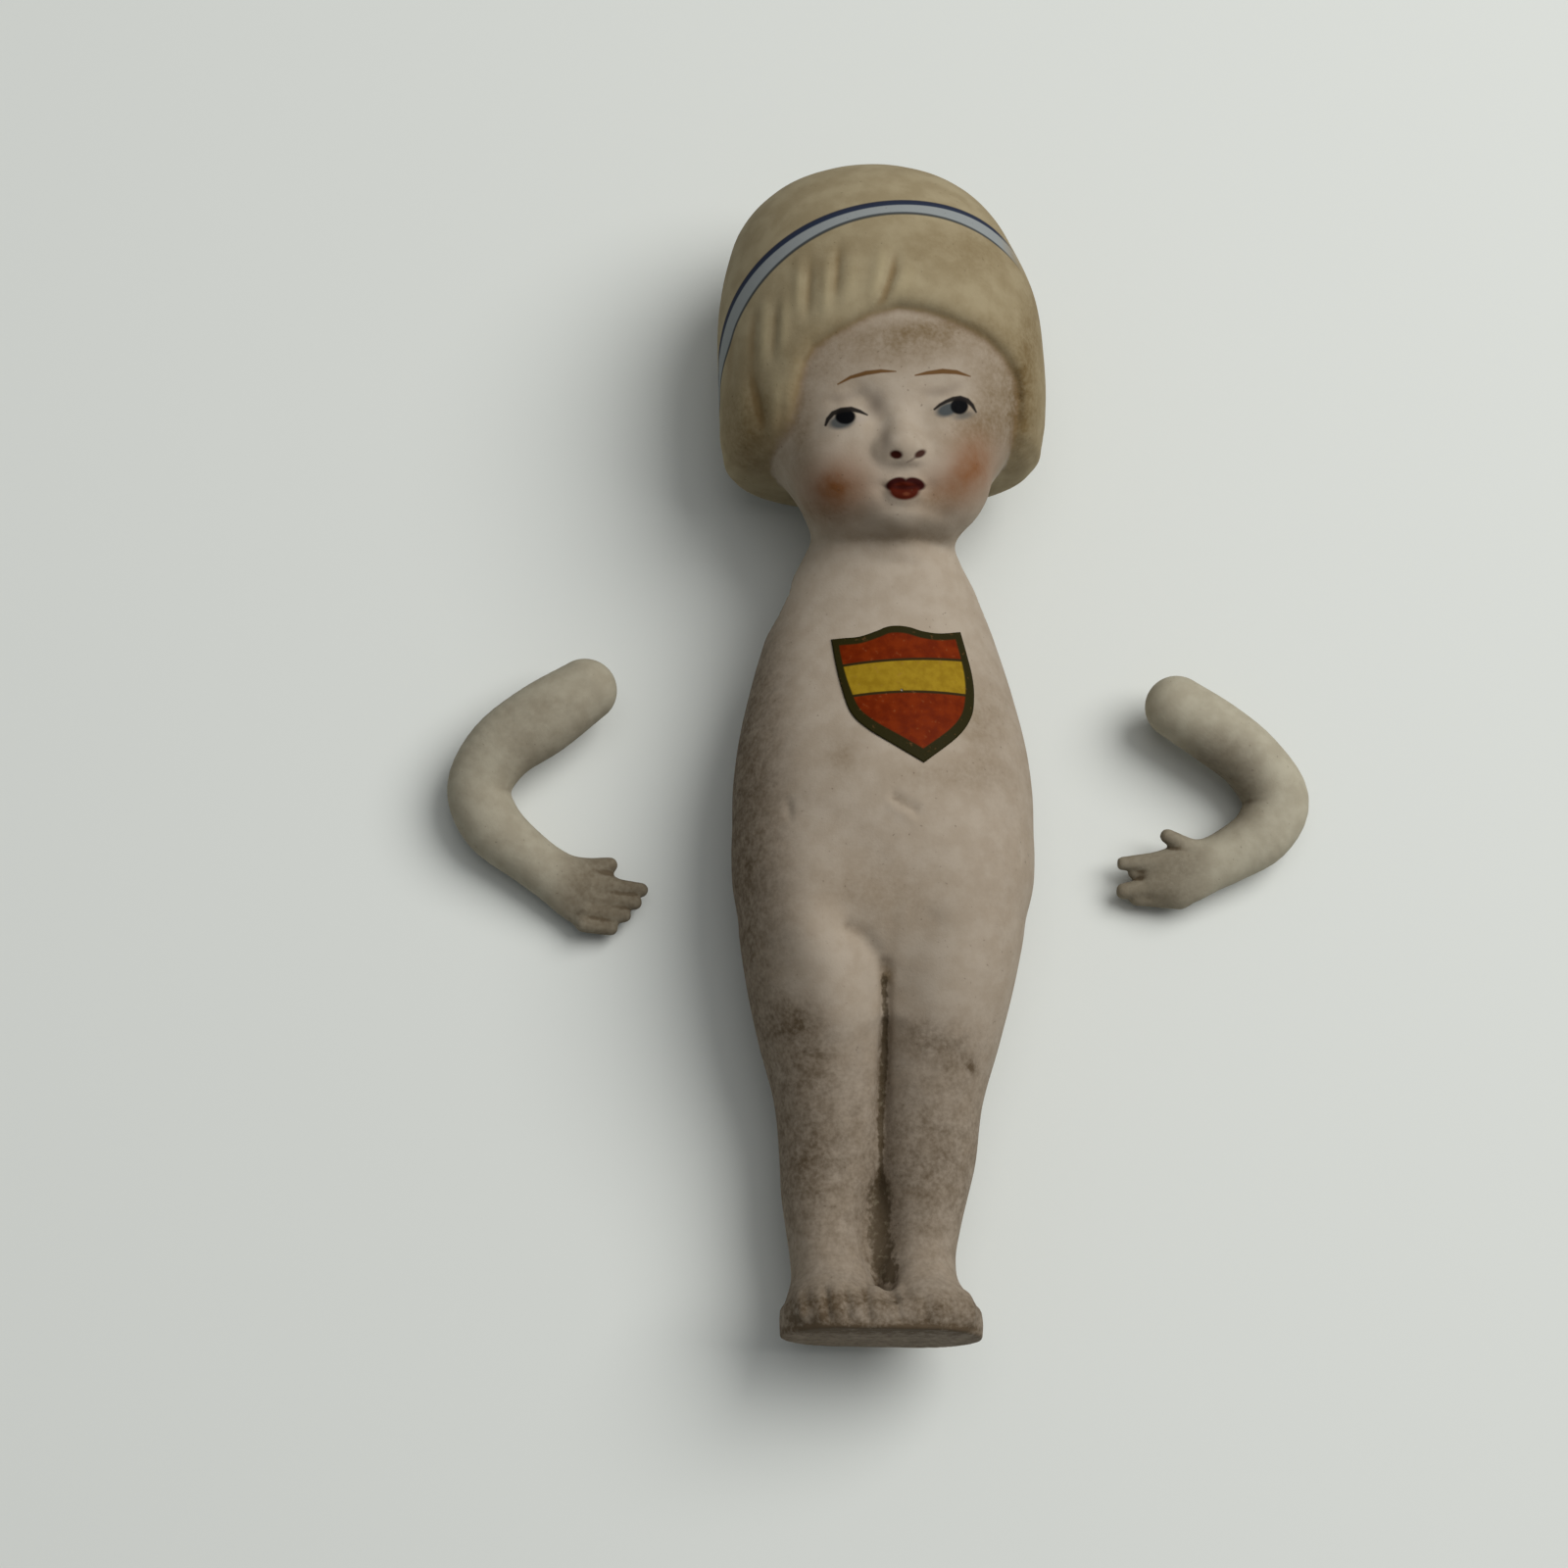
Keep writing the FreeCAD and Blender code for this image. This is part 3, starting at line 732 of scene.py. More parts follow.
def make_casting():
    """Head, trunk and legs in one."""
    space = Space(spaced(*casting_across), spaced(*casting_along), spaced(*casting_levels))
    field, hair_field = casting_fields(space)
    points, quads, indices = space.surface(field)
    hair = space.sample(hair_field, indices)

    column, row = picture_places(points)
    front = smoothstep(*face_levels, points[:, 2])
    chest = smoothstep(*chest_levels, points[:, 2])
    height = back_strands(points, hair)
    for relief, mask, taper in (
        (hair_relief, front, hair_stroke_taper), (face_relief, front, 0), (body_relief, chest, 0)
    ):
        for rise, width, stroke in relief:
            height += rise * mask * stroke_amount(column, row, stroke, width, taper)
    points = points + point_normals(points, quads) * height[:, None]
    crack = stroke_amount(column, row, crack_dirt, crack_width, crack_taper)
    crack += stroke_amount(column, row, pit_dirt, pit_width)
    region = stroke_amount(column, row, crack_dirt + pit_dirt, crack_region_width)
    rough = np.clip(crack_smoothing * crack + region, 0, 1)
    points += (neighbour_means(quads, points, crack_rounds) - points) * rough[:, None]

    column, row = picture_places(points)
    x, _, z = points.T
    band = points @ (-band_climb_across, 1, -band_climb_up) - band_height
    strand = sum(
        rise * stroke_amount(column, row, stroke, width, hair_paint_taper)
        for rise, width, stroke in hair_relief
    )
    return new_piece(
        "doll_casting", points, quads, doll_origin,
        column=column,
        row=row,
        front=front,
        hair=hair * (1 - patch_amount(column, row, soft_hair_edge)),
        blush=patch_amount(column, row, blush_patches) * front,
        soil=casting_soil(points, column, row, hollowness(points, quads, hollow_rounds)),
        stain=patch_amount(column, row, stain_patches) * chest,
        band=band / math.hypot(1, band_climb_up, band_climb_across),
        band_reach=band_width + band_flare * (x - band_waist) ** 2,
        crack=crack * smoothstep(*upper_levels, z),
        strand=strand * front,
        band_fade=smoothstep(*band_side, x) * smoothstep(*band_levels, z),
    )


# Arms about their stringing eyes. Stations: across, along, half width, half depth and height
right_arm_stations = [
    (-0.1, -0.3, 3.15, 3.00, 5.10),
    (-4.2, -3.4, 3.60, 3.22, 5.04),
    (-8.1, -6.4, 3.35, 3.16, 4.48),
    (-10.1, -10.2, 3.10, 2.95, 3.75),
    (-8.7, -13.9, 2.98, 2.85, 3.42),
    (-5.1, -16.9, 2.55, 2.48, 2.97),
    (-2.4, -18.7, 2.60, 2.15, 2.70),
    (0.2, -20.1, 3.10, 1.50, 2.30),
    (1.6, -20.7, 3.00, 1.10, 2.00),
]
left_arm_stations = [
    (0, -0.3, 3.15, 3.00, 5.10),
    (3.9, -2.8, 3.28, 3.16, 4.98),
    (7.5, -5.4, 3.20, 3.10, 4.37),
    (10, -9.1, 3.30, 2.98, 3.64),
    (8.6, -12.6, 3.05, 2.85, 3.36),
    (5.3, -14.9, 2.70, 2.54, 3.08),
    (3, -16, 2.70, 2.29, 2.97),
    (0.5, -17, 3.00, 1.75, 2.90),
    (-0.8, -17.2, 2.60, 1.35, 2.80),
]
# Fingers, the thumb first: knuckle and tip, each across, along and height, and their radii
right_fingers = [
    ((-1, -17.9, 2.6), (2.8, -17.2, 2.3), 1.10, 0.78),
    ((1, -19.5, 3), (5.9, -19.5, 1.9), 1.02, 0.72),
    ((0.8, -20.8, 3), (5.3, -20.8, 2), 0.86, 0.74),
    ((0.6, -22, 2.9), (4.3, -22.1, 1.9), 0.84, 0.72),
    ((0.4, -23.2, 2.6), (3, -23.4, 1.8), 0.90, 0.74),
]
left_fingers = [
    ((1.6, -14.7, 3.5), (-1.1, -13.4, 4), 1.05, 0.74),
    ((0.2, -15.9, 3.3), (-5.4, -16, 2.8), 1.40, 0.68),
    ((-0.4, -16.8, 2.8), (-4.2, -16.8, 2.4), 1.15, 0.66),
    ((-0.2, -18.1, 2.8), (-5.2, -18.6, 2), 1.40, 0.82),
    ((0.3, -19.2, 2.3), (-3.9, -19.2, 1.8), 1.15, 0.78),
]
stem_radius = 1.35
stem_top = 4.0
arm_step = 0.17
arm_levels = (-0.5, 9.0, 0.19)
elbow_margin = 2.5
fingertip_margin = 1.5
shoulder_margin = 0.6
limb_steps = 5
arm_rounds = 2
finger_blend = 0.12
knuckle_blend = 0.6
stem_blend = 0.5
eye_blend = 0.12
# Soil of the arms: how near it gathers to the fingertips and the crook; painted shade in their hollows
hand_reaches = (8.5, 4.0)
crook_reaches = (6.5, 3.0)
arm_hollow_depths = (0.005, 0.12)
hand_soil = 0.50
# Painted shade in the hollows of the arms, such as the grooves between the fingers
hollow_soil = 0.9


def arm_space(stations, fingers):
    """Sample points round an arm."""
    x, y, width = np.array(stations).T[:3]
    left = (x - width).min() - elbow_margin
    right = max((x + width).max() + elbow_margin, fingers[1][1][0] + fingertip_margin)
    bottom = (y - width).min() - fingertip_margin
    top = (y + width).max() + shoulder_margin
    return Space(spaced((left, right, arm_step)), spaced((bottom, top, arm_step)), spaced(arm_levels))


def add_stem(space, form, eye):
    """Adds the stem under the shoulder, with its cross hole."""
    away = np.sqrt(space.x ** 2 + space.y ** 2)
    stem = np.maximum(away - stem_radius, space.z - stem_top)
    form = smooth_union(form, stem, stem_blend)
    eye_level = eye["pos_m"][2] / MM - rest_level
    along_x, along_y, _ = eye["axis"]
    aside = space.x * along_y - space.y * along_x
    way = np.sqrt(aside ** 2 + (space.z - eye_level) ** 2) - eye["dims"]["r_mm"]
    return smooth_cut(form, way, eye_blend)


def make_arm(body, stations, fingers, crook, crook_soil, film):
    """Bent arm with its hand, and the stringing eye on a stem under the shoulder."""
    space = arm_space(stations, fingers)
    form = space.limb(smooth_line(stations, limb_steps))
    hand = None
    for knuckle, tip, thick, thin in fingers:
        finger = space.rod(knuckle, tip, thick, thin)
        hand = finger if hand is None else smooth_union(hand, finger, finger_blend)
    form = add_stem(space, smooth_union(form, hand, knuckle_blend), mounts[body + "_eye"])
    points, quads, _ = space.surface(np.maximum(form, -space.z))
    points = neighbour_means(quads, points, arm_rounds)

    tips = np.mean([tip for _, tip, _, _ in fingers], axis=0)
    # Soil, with painted shade in the hollows
    soil = film + hollow_soil * smoothstep(*arm_hollow_depths, hollowness(points, quads, hollow_rounds))
    for place, reaches, strength in ((tips, hand_reaches, hand_soil), (crook, crook_reaches, crook_soil)):
        away = np.hypot(points[:, 0] - place[0], points[:, 1] - place[1])
        soil += strength * smoothstep(*reaches, away)
    joint = joints[body + "_swing"]
    origin = Vector((joint.x, joint.y, rest_level))
    return new_piece(body + "_casting", points, quads, origin, soil=soil)


# Paper shield on the chest: its outline in the picture from corner to corner, clockwise
shield_top = [
    (848, 652.5), (861, 651.2), (877, 649.6), (894, 644), (905, 639.6), (916, 638.5), (928, 640),
    (942, 644.2), (959, 646.4), (980, 645),
]
shield_right = [(980, 645), (986, 666), (992, 690), (994, 711), (991, 732), (977, 752), (943, 778)]
shield_left = [(943, 778), (916, 762), (886, 744), (868, 727), (858, 700), (852, 675), (848, 652.5)]
shield_middle = (920, 704)
label_thickness = 0.14
label_bed = 0.06
label_rings = 30
outline_steps = 10
label_first_ring = 0.02


def make_label(carrier):
    """Paper that follows the chest, laid out in rings about its middle."""
    edges = (shield_top, shield_right, shield_left)
    outline = np.concatenate([smooth_line(edge, outline_steps)[:-1] for edge in edges])
    rings = np.linspace(label_first_ring, 1, label_rings)
    bpy.context.view_layer.update()
    places, columns, rows = [], [], []
    for ring in rings:
        for column, row in np.array(shield_middle) + ring * (outline - shield_middle):
            _, place, _, _ = carrier.ray_cast(eye_point * MM, view_ray(column, row))
            places.append(place / MM)
            columns.append(column)
            rows.append(row)
    places = np.array(places)
    count, around = len(places), len(outline)
    lift = np.array(view_back)
    points = np.concatenate([places + label_thickness * lift, places - label_bed * lift])
    faces = []
    for ring in range(len(rings) - 1):
        for step in range(around):
            a, b = ring * around + step, ring * around + (step + 1) % around
            faces.append((a, b, b + around, a + around))
            faces.append((count + a, count + a + around, count + b + around, count + b))
    last = count - around
    for step in range(around):
        a, b = last + step, last + (step + 1) % around
        faces.append((a, b, count + b, count + a))
    edge = -outline_distance(np.array(columns), np.array(rows), outline)
    return new_piece(
        "paper_shield", points, np.array(faces), Vector(),
        column=columns * 2, row=rows * 2, edge=np.concatenate([edge, edge]),
    )


def tint(red, green, blue):
    """Colour from the levels that it has in a picture, 0 to 255."""
    shares = [level / 255 for level in (red, green, blue)]
    return (*(s / 12.92 if s <= 0.04045 else ((s + 0.055) / 1.055) ** 2.4 for s in shares), 1.0)


class Paint:
    """Material built up from layers of colour."""

    def __init__(self, name, ground=None):
        self.material = bpy.data.materials.new(name)
        self.material.use_nodes = True
        self.tree = self.material.node_tree
        self.shader = self.tree.nodes["Principled BSDF"]
        self.own_places = self.node("ShaderNodeTexCoord").outputs["Object"]
        self.color = ground

    def feed(self, socket, value):
        if isinstance(value, bpy.types.NodeSocket):
            self.tree.links.new(value, socket)
        else:
            socket.default_value = value

    def node(self, kind, *inputs, **settings):
        node = self.tree.nodes.new(kind)
        for name, value in settings.items():
            setattr(node, name, value)
        for socket, value in zip(node.inputs, inputs):
            self.feed(socket, value)
        return node

    def math(self, operation, first, second=0.0):
        return self.node("ShaderNodeMath", first, second, operation=operation).outputs[0]

    def times(self, first, second):
        return self.math("MULTIPLY", first, second)

    def plus(self, first, second):
        return self.math("ADD", first, second)

    def minus(self, first, second):
        return self.math("SUBTRACT", first, second)

    def step(self, value, low, high):
        """0 below the low value and 1 above the high one, or the other way round."""
        node = self.node("ShaderNodeMapRange", value, low, high, interpolation_type="SMOOTHSTEP")
        return node.outputs[0]

    def attribute(self, name):
        return self.node("ShaderNodeAttribute", attribute_name=name).outputs["Fac"]

    def grain(self, size, detail=3.0):
        """Cloudy noise whose patches are about so many millimetres across."""
        return self.node("ShaderNodeTexNoise", self.own_places, 0.0, 1 / (size * MM), detail).outputs[0]

    def blend(self, below, above, amount):
        node = self.node("ShaderNodeMix", data_type="RGBA")
        self.feed(node.inputs[0], amount)
        self.feed(node.inputs[6], below)
        self.feed(node.inputs[7], above)
        return node.outputs[2]

    def lay(self, color, amount):
        """Lays a colour over what is there."""
        self.color = self.blend(self.color, color, amount)

    def touch(self, place, middle, reach, droop=0.0, turn=0.0, soft=0.3):
        """Amount of one oval touch of the brush. Its ends droop below its middle by some pixels."""
        local = self.node(
            "ShaderNodeMapping", place, (*middle, 0), (0, 0, math.radians(turn)), (*reach, 1),
            vector_type="TEXTURE",
        ).outputs[0]
        if droop:
            parts = self.node("ShaderNodeSeparateXYZ", local)
            sag = self.times(self.math("POWER", parts.outputs[0], 2.0), droop / reach[1])
            level = self.minus(parts.outputs[1], sag)
            local = self.node("ShaderNodeCombineXYZ", parts.outputs[0], level).outputs[0]
        away = self.node("ShaderNodeVectorMath", local, operation="LENGTH").outputs["Value"]
        return self.step(away, 1 + soft / 2, 1 - soft)

    def line(self, place, points, radii, soft=0.9):
        """Amount of a brush line through picture points, with its radius in pixels at each."""
        amount = None
        for start, end, thick, thin in zip(points, points[1:], radii, radii[1:]):
            reach = Vector(end) - Vector(start)
            turn = math.atan2(reach.y, reach.x)
            local = self.node(
                "ShaderNodeMapping", place, (*start, 0), (0, 0, turn), vector_type="TEXTURE"
            ).outputs[0]
            parts = self.node("ShaderNodeSeparateXYZ", local)
            along = self.math("MINIMUM", self.math("MAXIMUM", parts.outputs[0], 0.0), reach.length)
            past = self.minus(parts.outputs[0], along)
            gap = self.node("ShaderNodeCombineXYZ", past, parts.outputs[1]).outputs[0]
            gap = self.node("ShaderNodeVectorMath", gap, operation="LENGTH").outputs["Value"]
            radius = self.times(along, (thin - thick) / reach.length)
            outside = self.minus(self.minus(gap, radius), thick)
            part = self.step(outside, soft, -soft)
            amount = part if amount is None else self.math("MAXIMUM", amount, part)
        return amount

    def finish(self, roughness, height, depth, gloss=0.08):
        """Sets the colour and a matt, grained surface."""
        self.shader.inputs["Specular IOR Level"].default_value = gloss
        self.feed(self.shader.inputs["Base Color"], self.color)
        self.feed(self.shader.inputs["Roughness"], roughness)
        bump = self.node("ShaderNodeBump")
        bump.inputs["Strength"].default_value = 0.5
        bump.inputs["Distance"].default_value = depth * MM
        self.feed(bump.inputs["Height"], height)
        self.tree.links.new(bump.outputs["Normal"], self.shader.inputs["Normal"])
        return self.material


def finish_bisque(paint, speck_color, depth):
    """Fine dark specks and the sandy surface of unglazed bisque."""
    dots = paint.step(paint.grain(0.4, 1), 0.74, 0.80)
    paint.lay(speck_color, paint.times(dots, 0.4))
    roughness = paint.plus(paint.times(paint.grain(0.6), 0.2), 0.62)
    sand = paint.plus(paint.times(paint.grain(0.9, 2), 0.6), paint.times(paint.grain(0.22, 2), 0.4))
    return paint.finish(roughness, sand, depth)


def mottled(paint, pale, dark, size):
    """Cloudy change between two shades of one colour."""
    return paint.blend(dark, pale, paint.step(paint.grain(size, 4.0), 0.32, 0.68))


def paint_face(paint):
    """Painted shade round the eyes and nose, then eyes, mouth and nostrils touch by touch with a painted
    highlight in one eye, then lashes, brows and a painted shadow under the nose as lines.
    """
    column, row = paint.attribute("column"), paint.attribute("row")
    place = paint.node("ShaderNodeCombineXYZ", column, row).outputs[0]
    white = tint(58, 64, 66)
    pupil = tint(2, 2, 4)
    lash = tint(20, 16, 14)
    brow = tint(94, 63, 26)
    lip = tint(72, 19, 3)
    lip_dark = tint(44, 4, 1)
    nostril = tint(50, 14, 6)
    shade = tint(98, 86, 74)
    # Touches: colour, strength, middle, reach across and down, droop, turn in degrees, softness
    touches = [
        # The first five touches are painted shade: by the inner corner of the eye at negative x, above both
        # eyes, on the side of the nose away from the key lamp and under the nose
        (shade, 0.62, (893, 413), (11, 14), 0, 0, 1),
        (shade, 0.34, (862, 406), (22, 6), -4, -8, 1),
        (shade, 0.40, (960, 400), (20, 6), -4, -8, 1),
        (shade, 0.42, (903, 450), (6, 16), 0, 4, 1),
        (shade, 0.40, (926, 474), (16, 4), 0, 0, 1),
        (white, 0.90, (858.5, 430.5), (14.5, 8), 0, -10, 0.45),
        # Pale touch by the inner corner of the eye at negative x: a painted highlight
        (tint(158, 146, 134), 0.55, (878, 427.5), (8, 4.5), 0, 0, 0.8),
        (white, 0.95, (967, 418), (13.5, 7.5), 0, -18, 0.45),
        (white, 0.60, (983, 424), (12, 4.5), 0, -10, 0.8),
        (pupil, 1.00, (862.6, 425), (11, 8.2), 0, 0, 0.2),
        (pupil, 1.00, (979, 414.4), (9.6, 8.9), 0, 0, 0.2),
        (lip_dark, 1.00, (914.5, 493.8), (12, 6.8), 0, -18, 0.25),
        (lip_dark, 1.00, (933.5, 493.8), (11.5, 6.8), 0, 16, 0.25),
        (lip, 1.00, (922.8, 501), (16.5, 9.8), 0, 0, 0.25),
        (lip_dark, 0.80, (923, 497.5), (20, 2.6), -2, 0, 0.8),
        (tint(120, 66, 40), 0.50, (925, 504), (4, 2.2), 0, 0, 0.8),
        (nostril, 1.00, (914.4, 463.9), (7.2, 4.8), 0, 8, 0.4),
        (nostril, 0.95, (939, 463), (7, 4), 0, -28, 0.45),
    ]
    for color, strength, middle, reach, droop, turn, soft in touches:
        amount = paint.touch(place, middle, reach, droop, turn, soft)
        paint.lay(color, paint.times(amount, strength))
    # Lines: colour, strength, points and the brush's radius at each
    lines = [
        (lash, 0.97, [(842.4, 433.8), (844.8, 427.7), (850, 421.8), (858.4, 418.4), (868.6, 417.4),
                      (877.2, 419.8), (885, 423.4)], [1.3, 2.1, 2.4, 2.6, 2.5, 1.9, 0.8]),
        (lash, 0.97, [(953.5, 417.6), (959, 413.2), (965.5, 409.7), (972.5, 407), (980, 406.2),
                      (987, 408.6), (992, 413.5), (996, 420.4)], [1.1, 1.6, 1.9, 2.2, 2.5, 2.4, 2.0, 0.9]),
        (brow, 0.95, [(855, 392), (868, 385), (884, 380.6), (899, 378.6), (914, 379)],
         [0.7, 1.7, 2.3, 1.9, 0.6]),
        (brow, 0.95, [(934, 383), (946, 380.6), (962, 378.8), (976, 379.8), (990, 384)],
         [0.7, 1.9, 2.6, 2.2, 0.6]),
        # Painted shadow under the nose, in the nostrils' colour
        (nostril, 0.40, [(935, 466), (930, 469.5), (925, 472)], [1.5, 1.2, 0.5]),
    ]
    for color, strength, points, radii in lines:
        paint.lay(color, paint.times(paint.line(place, points, radii), strength))


def paint_hairband(paint, hair_amount):
    """Two blue lines with a pale band between them, fading out at the sides."""
    low = paint.attribute("band")
    high = paint.minus(low, paint.attribute("band_reach"))
    shown = paint.times(paint.attribute("band_fade"), hair_amount)
    between = paint.times(paint.step(low, -0.1, 0.1), paint.step(high, 0.1, -0.1))
    paint.lay(tint(134, 140, 142), paint.times(between, paint.times(shown, 0.88)))
    for distance, half, color, strength in (
        (high, 0.34, tint(18, 30, 54), 0.95), (low, 0.15, tint(46, 50, 52), 0.88)
    ):
        away = paint.math("ABSOLUTE", distance)
        amount = paint.times(paint.step(away, half + 0.12, half - 0.08), shown)
        paint.lay(color, paint.times(amount, strength))


# Shares of cloudy and of fine change in dirt and painted shade, and what the rest loses for them
cloud_share = 0.5
fine_share = 0.35
rest_loss_share = 0.42


def clouded(paint, amount, size, contrast=1):
    """An amount broken up softly, as dirt that was rubbed in; painted shade carried in the same amount is
    broken up alike.
    """
    cloud = paint.times(paint.step(paint.grain(size, 5.0), 0.20, 0.80), cloud_share * contrast)
    fine = paint.times(paint.step(paint.grain(0.4, 3.0), 0.3, 0.7), fine_share * contrast)
    rest = 1.0 - rest_loss_share * contrast
    return paint.times(amount, paint.plus(paint.plus(cloud, fine), rest))


def lay_dirt_and_shade(paint, color, contrast, most):
    """Lays the soil, with the painted shade in it, over the paint."""
    paint.lay(color, paint.math("MINIMUM", clouded(paint, paint.attribute("soil"), 1.2, contrast), most))


# Brown of the stains, also laid as painted shade on the forehead, the neck and the hair's sides
stain_color = tint(98, 77, 42)


def paint_skin(paint, stain):
    """Pink bisque with its stains and painted shade, and the blush and features on the front."""
    paint.color = mottled(paint, tint(166, 153, 136), tint(158, 144, 126), 2.0)
    paint.lay(stain_color, stain)
    bare = paint.color
    uneven = paint.plus(paint.times(paint.grain(1.0, 4.0), 0.6), 0.7)
    paint.lay(tint(116, 74, 42), paint.times(paint.attribute("blush"), uneven))
    paint_face(paint)
    paint.color = paint.blend(bare, paint.color, paint.attribute("front"))


def paint_hair(paint, stain):
    """Fair hair, darker in its sunk strands, with painted highlight on its raised strands, stains and
    painted shade, a brown line along its edge that is partly painted shade, and the hairband.
    """
    ragged = paint.times(paint.minus(paint.grain(0.8), 0.5), 0.3)
    hair_field = paint.plus(paint.attribute("hair"), ragged)
    hair_amount = paint.step(hair_field, -0.28, 0.20)
    hair = mottled(paint, tint(154, 141, 112), tint(141, 127, 98), 2.6)
    strand = paint.attribute("strand")
    sunk = paint.times(paint.step(strand, 0.0, -0.30), 0.62)
    hair = paint.blend(hair, tint(106, 82, 46), sunk)
    # Painted highlight on the raised strands
    ridge_highlight = paint.times(paint.step(strand, 0.02, 0.2), 0.45)
    hair = paint.blend(hair, tint(168, 155, 122), ridge_highlight)
    paint.lay(paint.blend(hair, stain_color, stain), hair_amount)
    # Brown line along the hair's edge on the front: the painted hairline, with painted shade under the
    # fringe's edge
    border = paint.step(paint.math("ABSOLUTE", hair_field), 0.7, 0.05)
    border = paint.times(border, paint.attribute("front"))
    paint.lay(tint(108, 84, 54), paint.times(border, 0.42))
    paint_hairband(paint, hair_amount)


def paint_crack(paint):
    """Dark dirt with pale chips in the crack between the legs."""
    crack = paint.plus(paint.attribute("crack"), paint.times(paint.grain(0.6, 4.0), 1.2))
    paint.lay(tint(66, 54, 36), paint.times(paint.step(crack, 0.95, 1.40), 0.80))
    chips = paint.step(paint.grain(0.9, 4.0), 0.54, 0.66)
    chips = paint.times(chips, paint.step(paint.attribute("crack"), 0.5, 1.0))
    paint.lay(tint(128, 118, 98), paint.times(chips, 0.5))


def casting_material():
    paint = Paint("painted_bisque")
    # Stains together with painted shade under the fringe, under the chin and on the hair's sides
    stain = paint.math("MINIMUM", clouded(paint, paint.attribute("stain"), 1.4), 0.85)
    paint_skin(paint, stain)
    paint_hair(paint, stain)
    lay_dirt_and_shade(paint, tint(76, 61, 42), 1.0, 0.92)
    paint_crack(paint)
    return finish_bisque(paint, tint(70, 56, 40), 0.08)


def arm_material():
    paint = Paint("grey_bisque")
    paint.color = mottled(paint, tint(170, 163, 143), tint(159, 151, 131), 1.8)
    lay_dirt_and_shade(paint, tint(78, 64, 46), 0.45, 0.9)
    return finish_bisque(paint, tint(70, 58, 44), 0.09)


# Print of the shield in pixels: middle column, each bent line's row there, slope and bend, the edge
# of a line, and the dark border's width with what it gains between two rows
print_middle = 916.4
upper_line = (673.1, -0.0539, 0.001037)
lower_line = (705.9, -0.0351, 0.001294)
line_edge = (1.8, 0.8)
border_width = 7.0
border_gain = 5.0
border_rows = (660, 770)


def label_material():
    """Printed shield: dark border, orange-red field and a plain yellow band."""
    paint = Paint("shield_paper")
    paint.color = mottled(paint, tint(112, 37, 3), tint(95, 27, 1), 1.0)
    column, row = paint.attribute("column"), paint.attribute("row")
    across = paint.minus(column, print_middle)
    square = paint.times(across, across)

    def below(start, slope, curve):
        """How far a place lies below one of the bent lines of the print."""
        line = paint.plus(paint.times(across, slope), start)
        line = paint.plus(paint.times(square, curve), line)
        return paint.minus(row, line)

    upper = below(*upper_line)
    lower = below(*lower_line)
    band = paint.times(paint.step(upper, -0.6, 0.6), paint.step(lower, 0.6, -0.6))
    yellow = mottled(paint, tint(146, 118, 26), tint(132, 104, 18), 0.8)
    paint.lay(yellow, band)
    for line in (upper, lower):
        paint.lay(tint(48, 36, 14), paint.step(paint.math("ABSOLUTE", line), *line_edge))
    edge = paint.attribute("edge")
    low_down = paint.step(row, *border_rows)
    width = paint.plus(paint.times(low_down, border_gain), border_width)
    olive = paint.minus(edge, width)
    paint.lay(tint(38, 34, 10), paint.step(olive, 1.0, -1.0))
    wear = paint.step(paint.grain(0.5, 5.0), 0.62, 0.72)
    paint.lay(tint(140, 96, 60), paint.times(wear, 0.22))
    roughness = paint.plus(paint.times(paint.grain(0.5), 0.25), 0.42)
    return paint.finish(roughness, paint.grain(0.35, 4.0), 0.05, 0.04)


def set_up(piece, body, node, material):
    """Puts a piece in the place of a CAD node."""
    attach(piece, body)
    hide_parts(node)
    piece.data.materials.append(material)


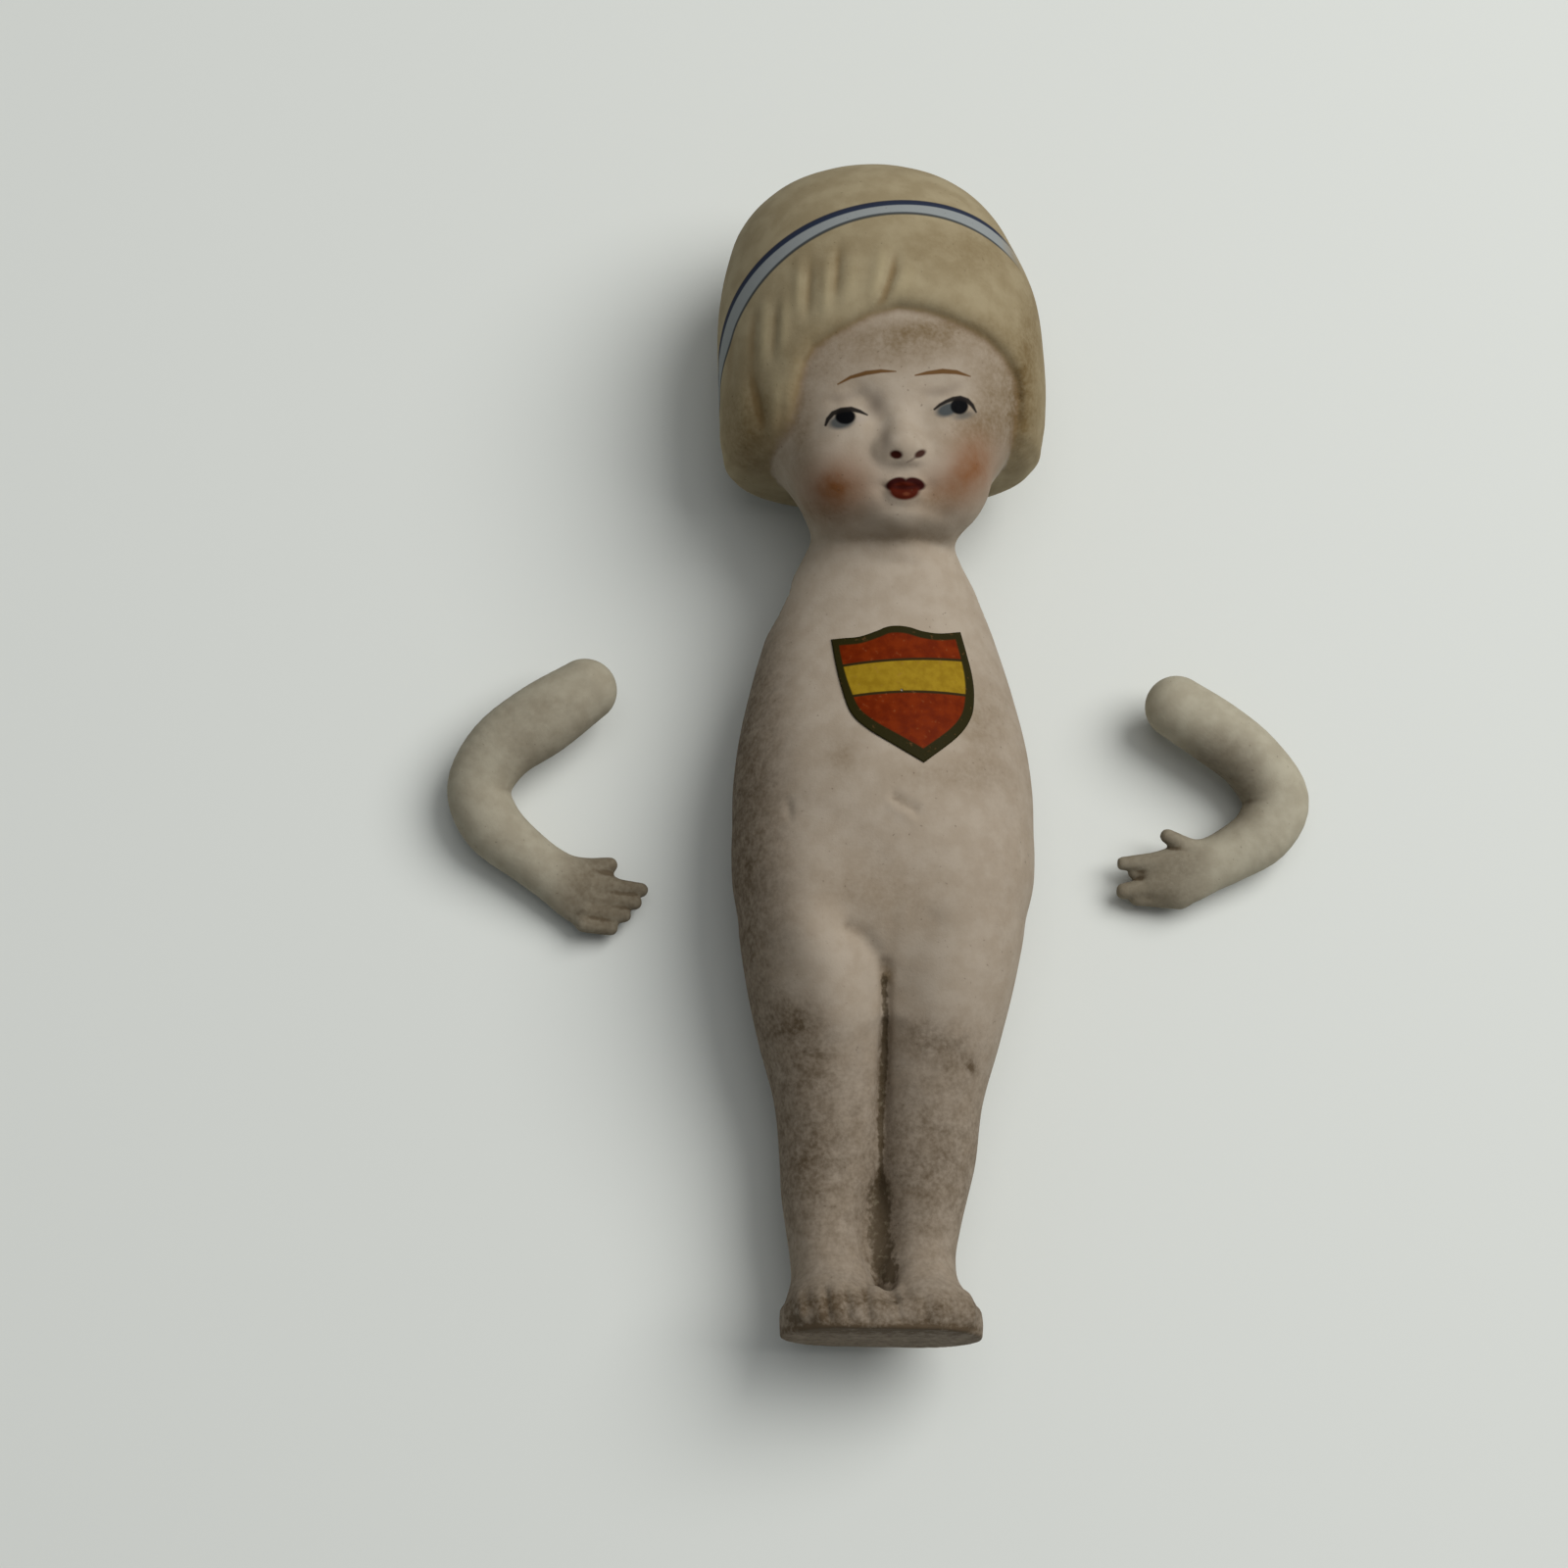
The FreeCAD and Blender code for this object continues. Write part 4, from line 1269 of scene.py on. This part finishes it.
casting = make_casting()
set_up(casting, "doll", "body_casting", casting_material())
label = make_label(casting)
set_up(label, "doll", "chest_label", label_material())
arm_finish = arm_material()
for arm_body, arm_stations, arm_fingers, crook, crook_soil, film in (
    ("right_arm", right_arm_stations, right_fingers, (-3.4, -6.5), 0.16, 0.20),
    ("left_arm", left_arm_stations, left_fingers, (3.6, -8.6), 0.45, 0.04),
):
    arm = make_arm(arm_body, arm_stations, arm_fingers, crook, crook_soil, film)
    set_up(arm, arm_body, arm_body, arm_finish)


# Lamps: name, size in metres, power in watts, direction and distance in metres
lamps = [
    ("key", 0.75, 7.1, (0.54, 0.26, 0.85), 0.9),
    ("top", 0.8, 1.8, (0, 0.1, 1), 1),
]
sky_color = (0.9, 0.95, 1.0, 1)
sky_strength = 0.20
floor_size = 4.0
near_clip = 0.01
far_clip = 10


def make_stage():
    """Pale level surface, soft light from the upper right and the camera."""
    scene = bpy.context.scene
    bpy.ops.mesh.primitive_grid_add(size=floor_size, x_subdivisions=2, y_subdivisions=2)
    floor = bpy.context.object
    floor.name = "floor"
    table = Paint("table", tint(213, 215, 209))
    floor.data.materials.append(table.finish(0.6, table.grain(2.0), 0.01))

    for name, size, power, direction, distance in lamps:
        lamp = bpy.data.lights.new(name, "AREA")
        lamp.shape = "DISK"
        lamp.size = size
        lamp.energy = power
        holder = bpy.data.objects.new(name, lamp)
        way = Vector(direction).normalized()
        holder.location = way * distance
        holder.rotation_mode = "QUATERNION"
        holder.rotation_quaternion = way.to_track_quat("Z", "Y")
        scene.collection.objects.link(holder)

    world = bpy.data.worlds.new("studio")
    world.use_nodes = True
    sky = world.node_tree.nodes["Background"]
    sky.inputs["Color"].default_value = sky_color
    sky.inputs["Strength"].default_value = sky_strength
    scene.world = world

    camera_data = bpy.data.cameras.new("camera")
    camera_data.sensor_width = sensor_width
    camera_data.lens = focal_pixels * sensor_width / picture_size
    camera_data.clip_start = near_clip
    camera_data.clip_end = far_clip
    camera = bpy.data.objects.new("camera", camera_data)
    turn = Matrix((view_right, view_up, view_back)).transposed()
    camera.matrix_world = Matrix.Translation(eye_point * MM) @ turn.to_4x4()
    scene.collection.objects.link(camera)
    scene.camera = camera
    scene.view_settings.view_transform = "Standard"


make_stage()
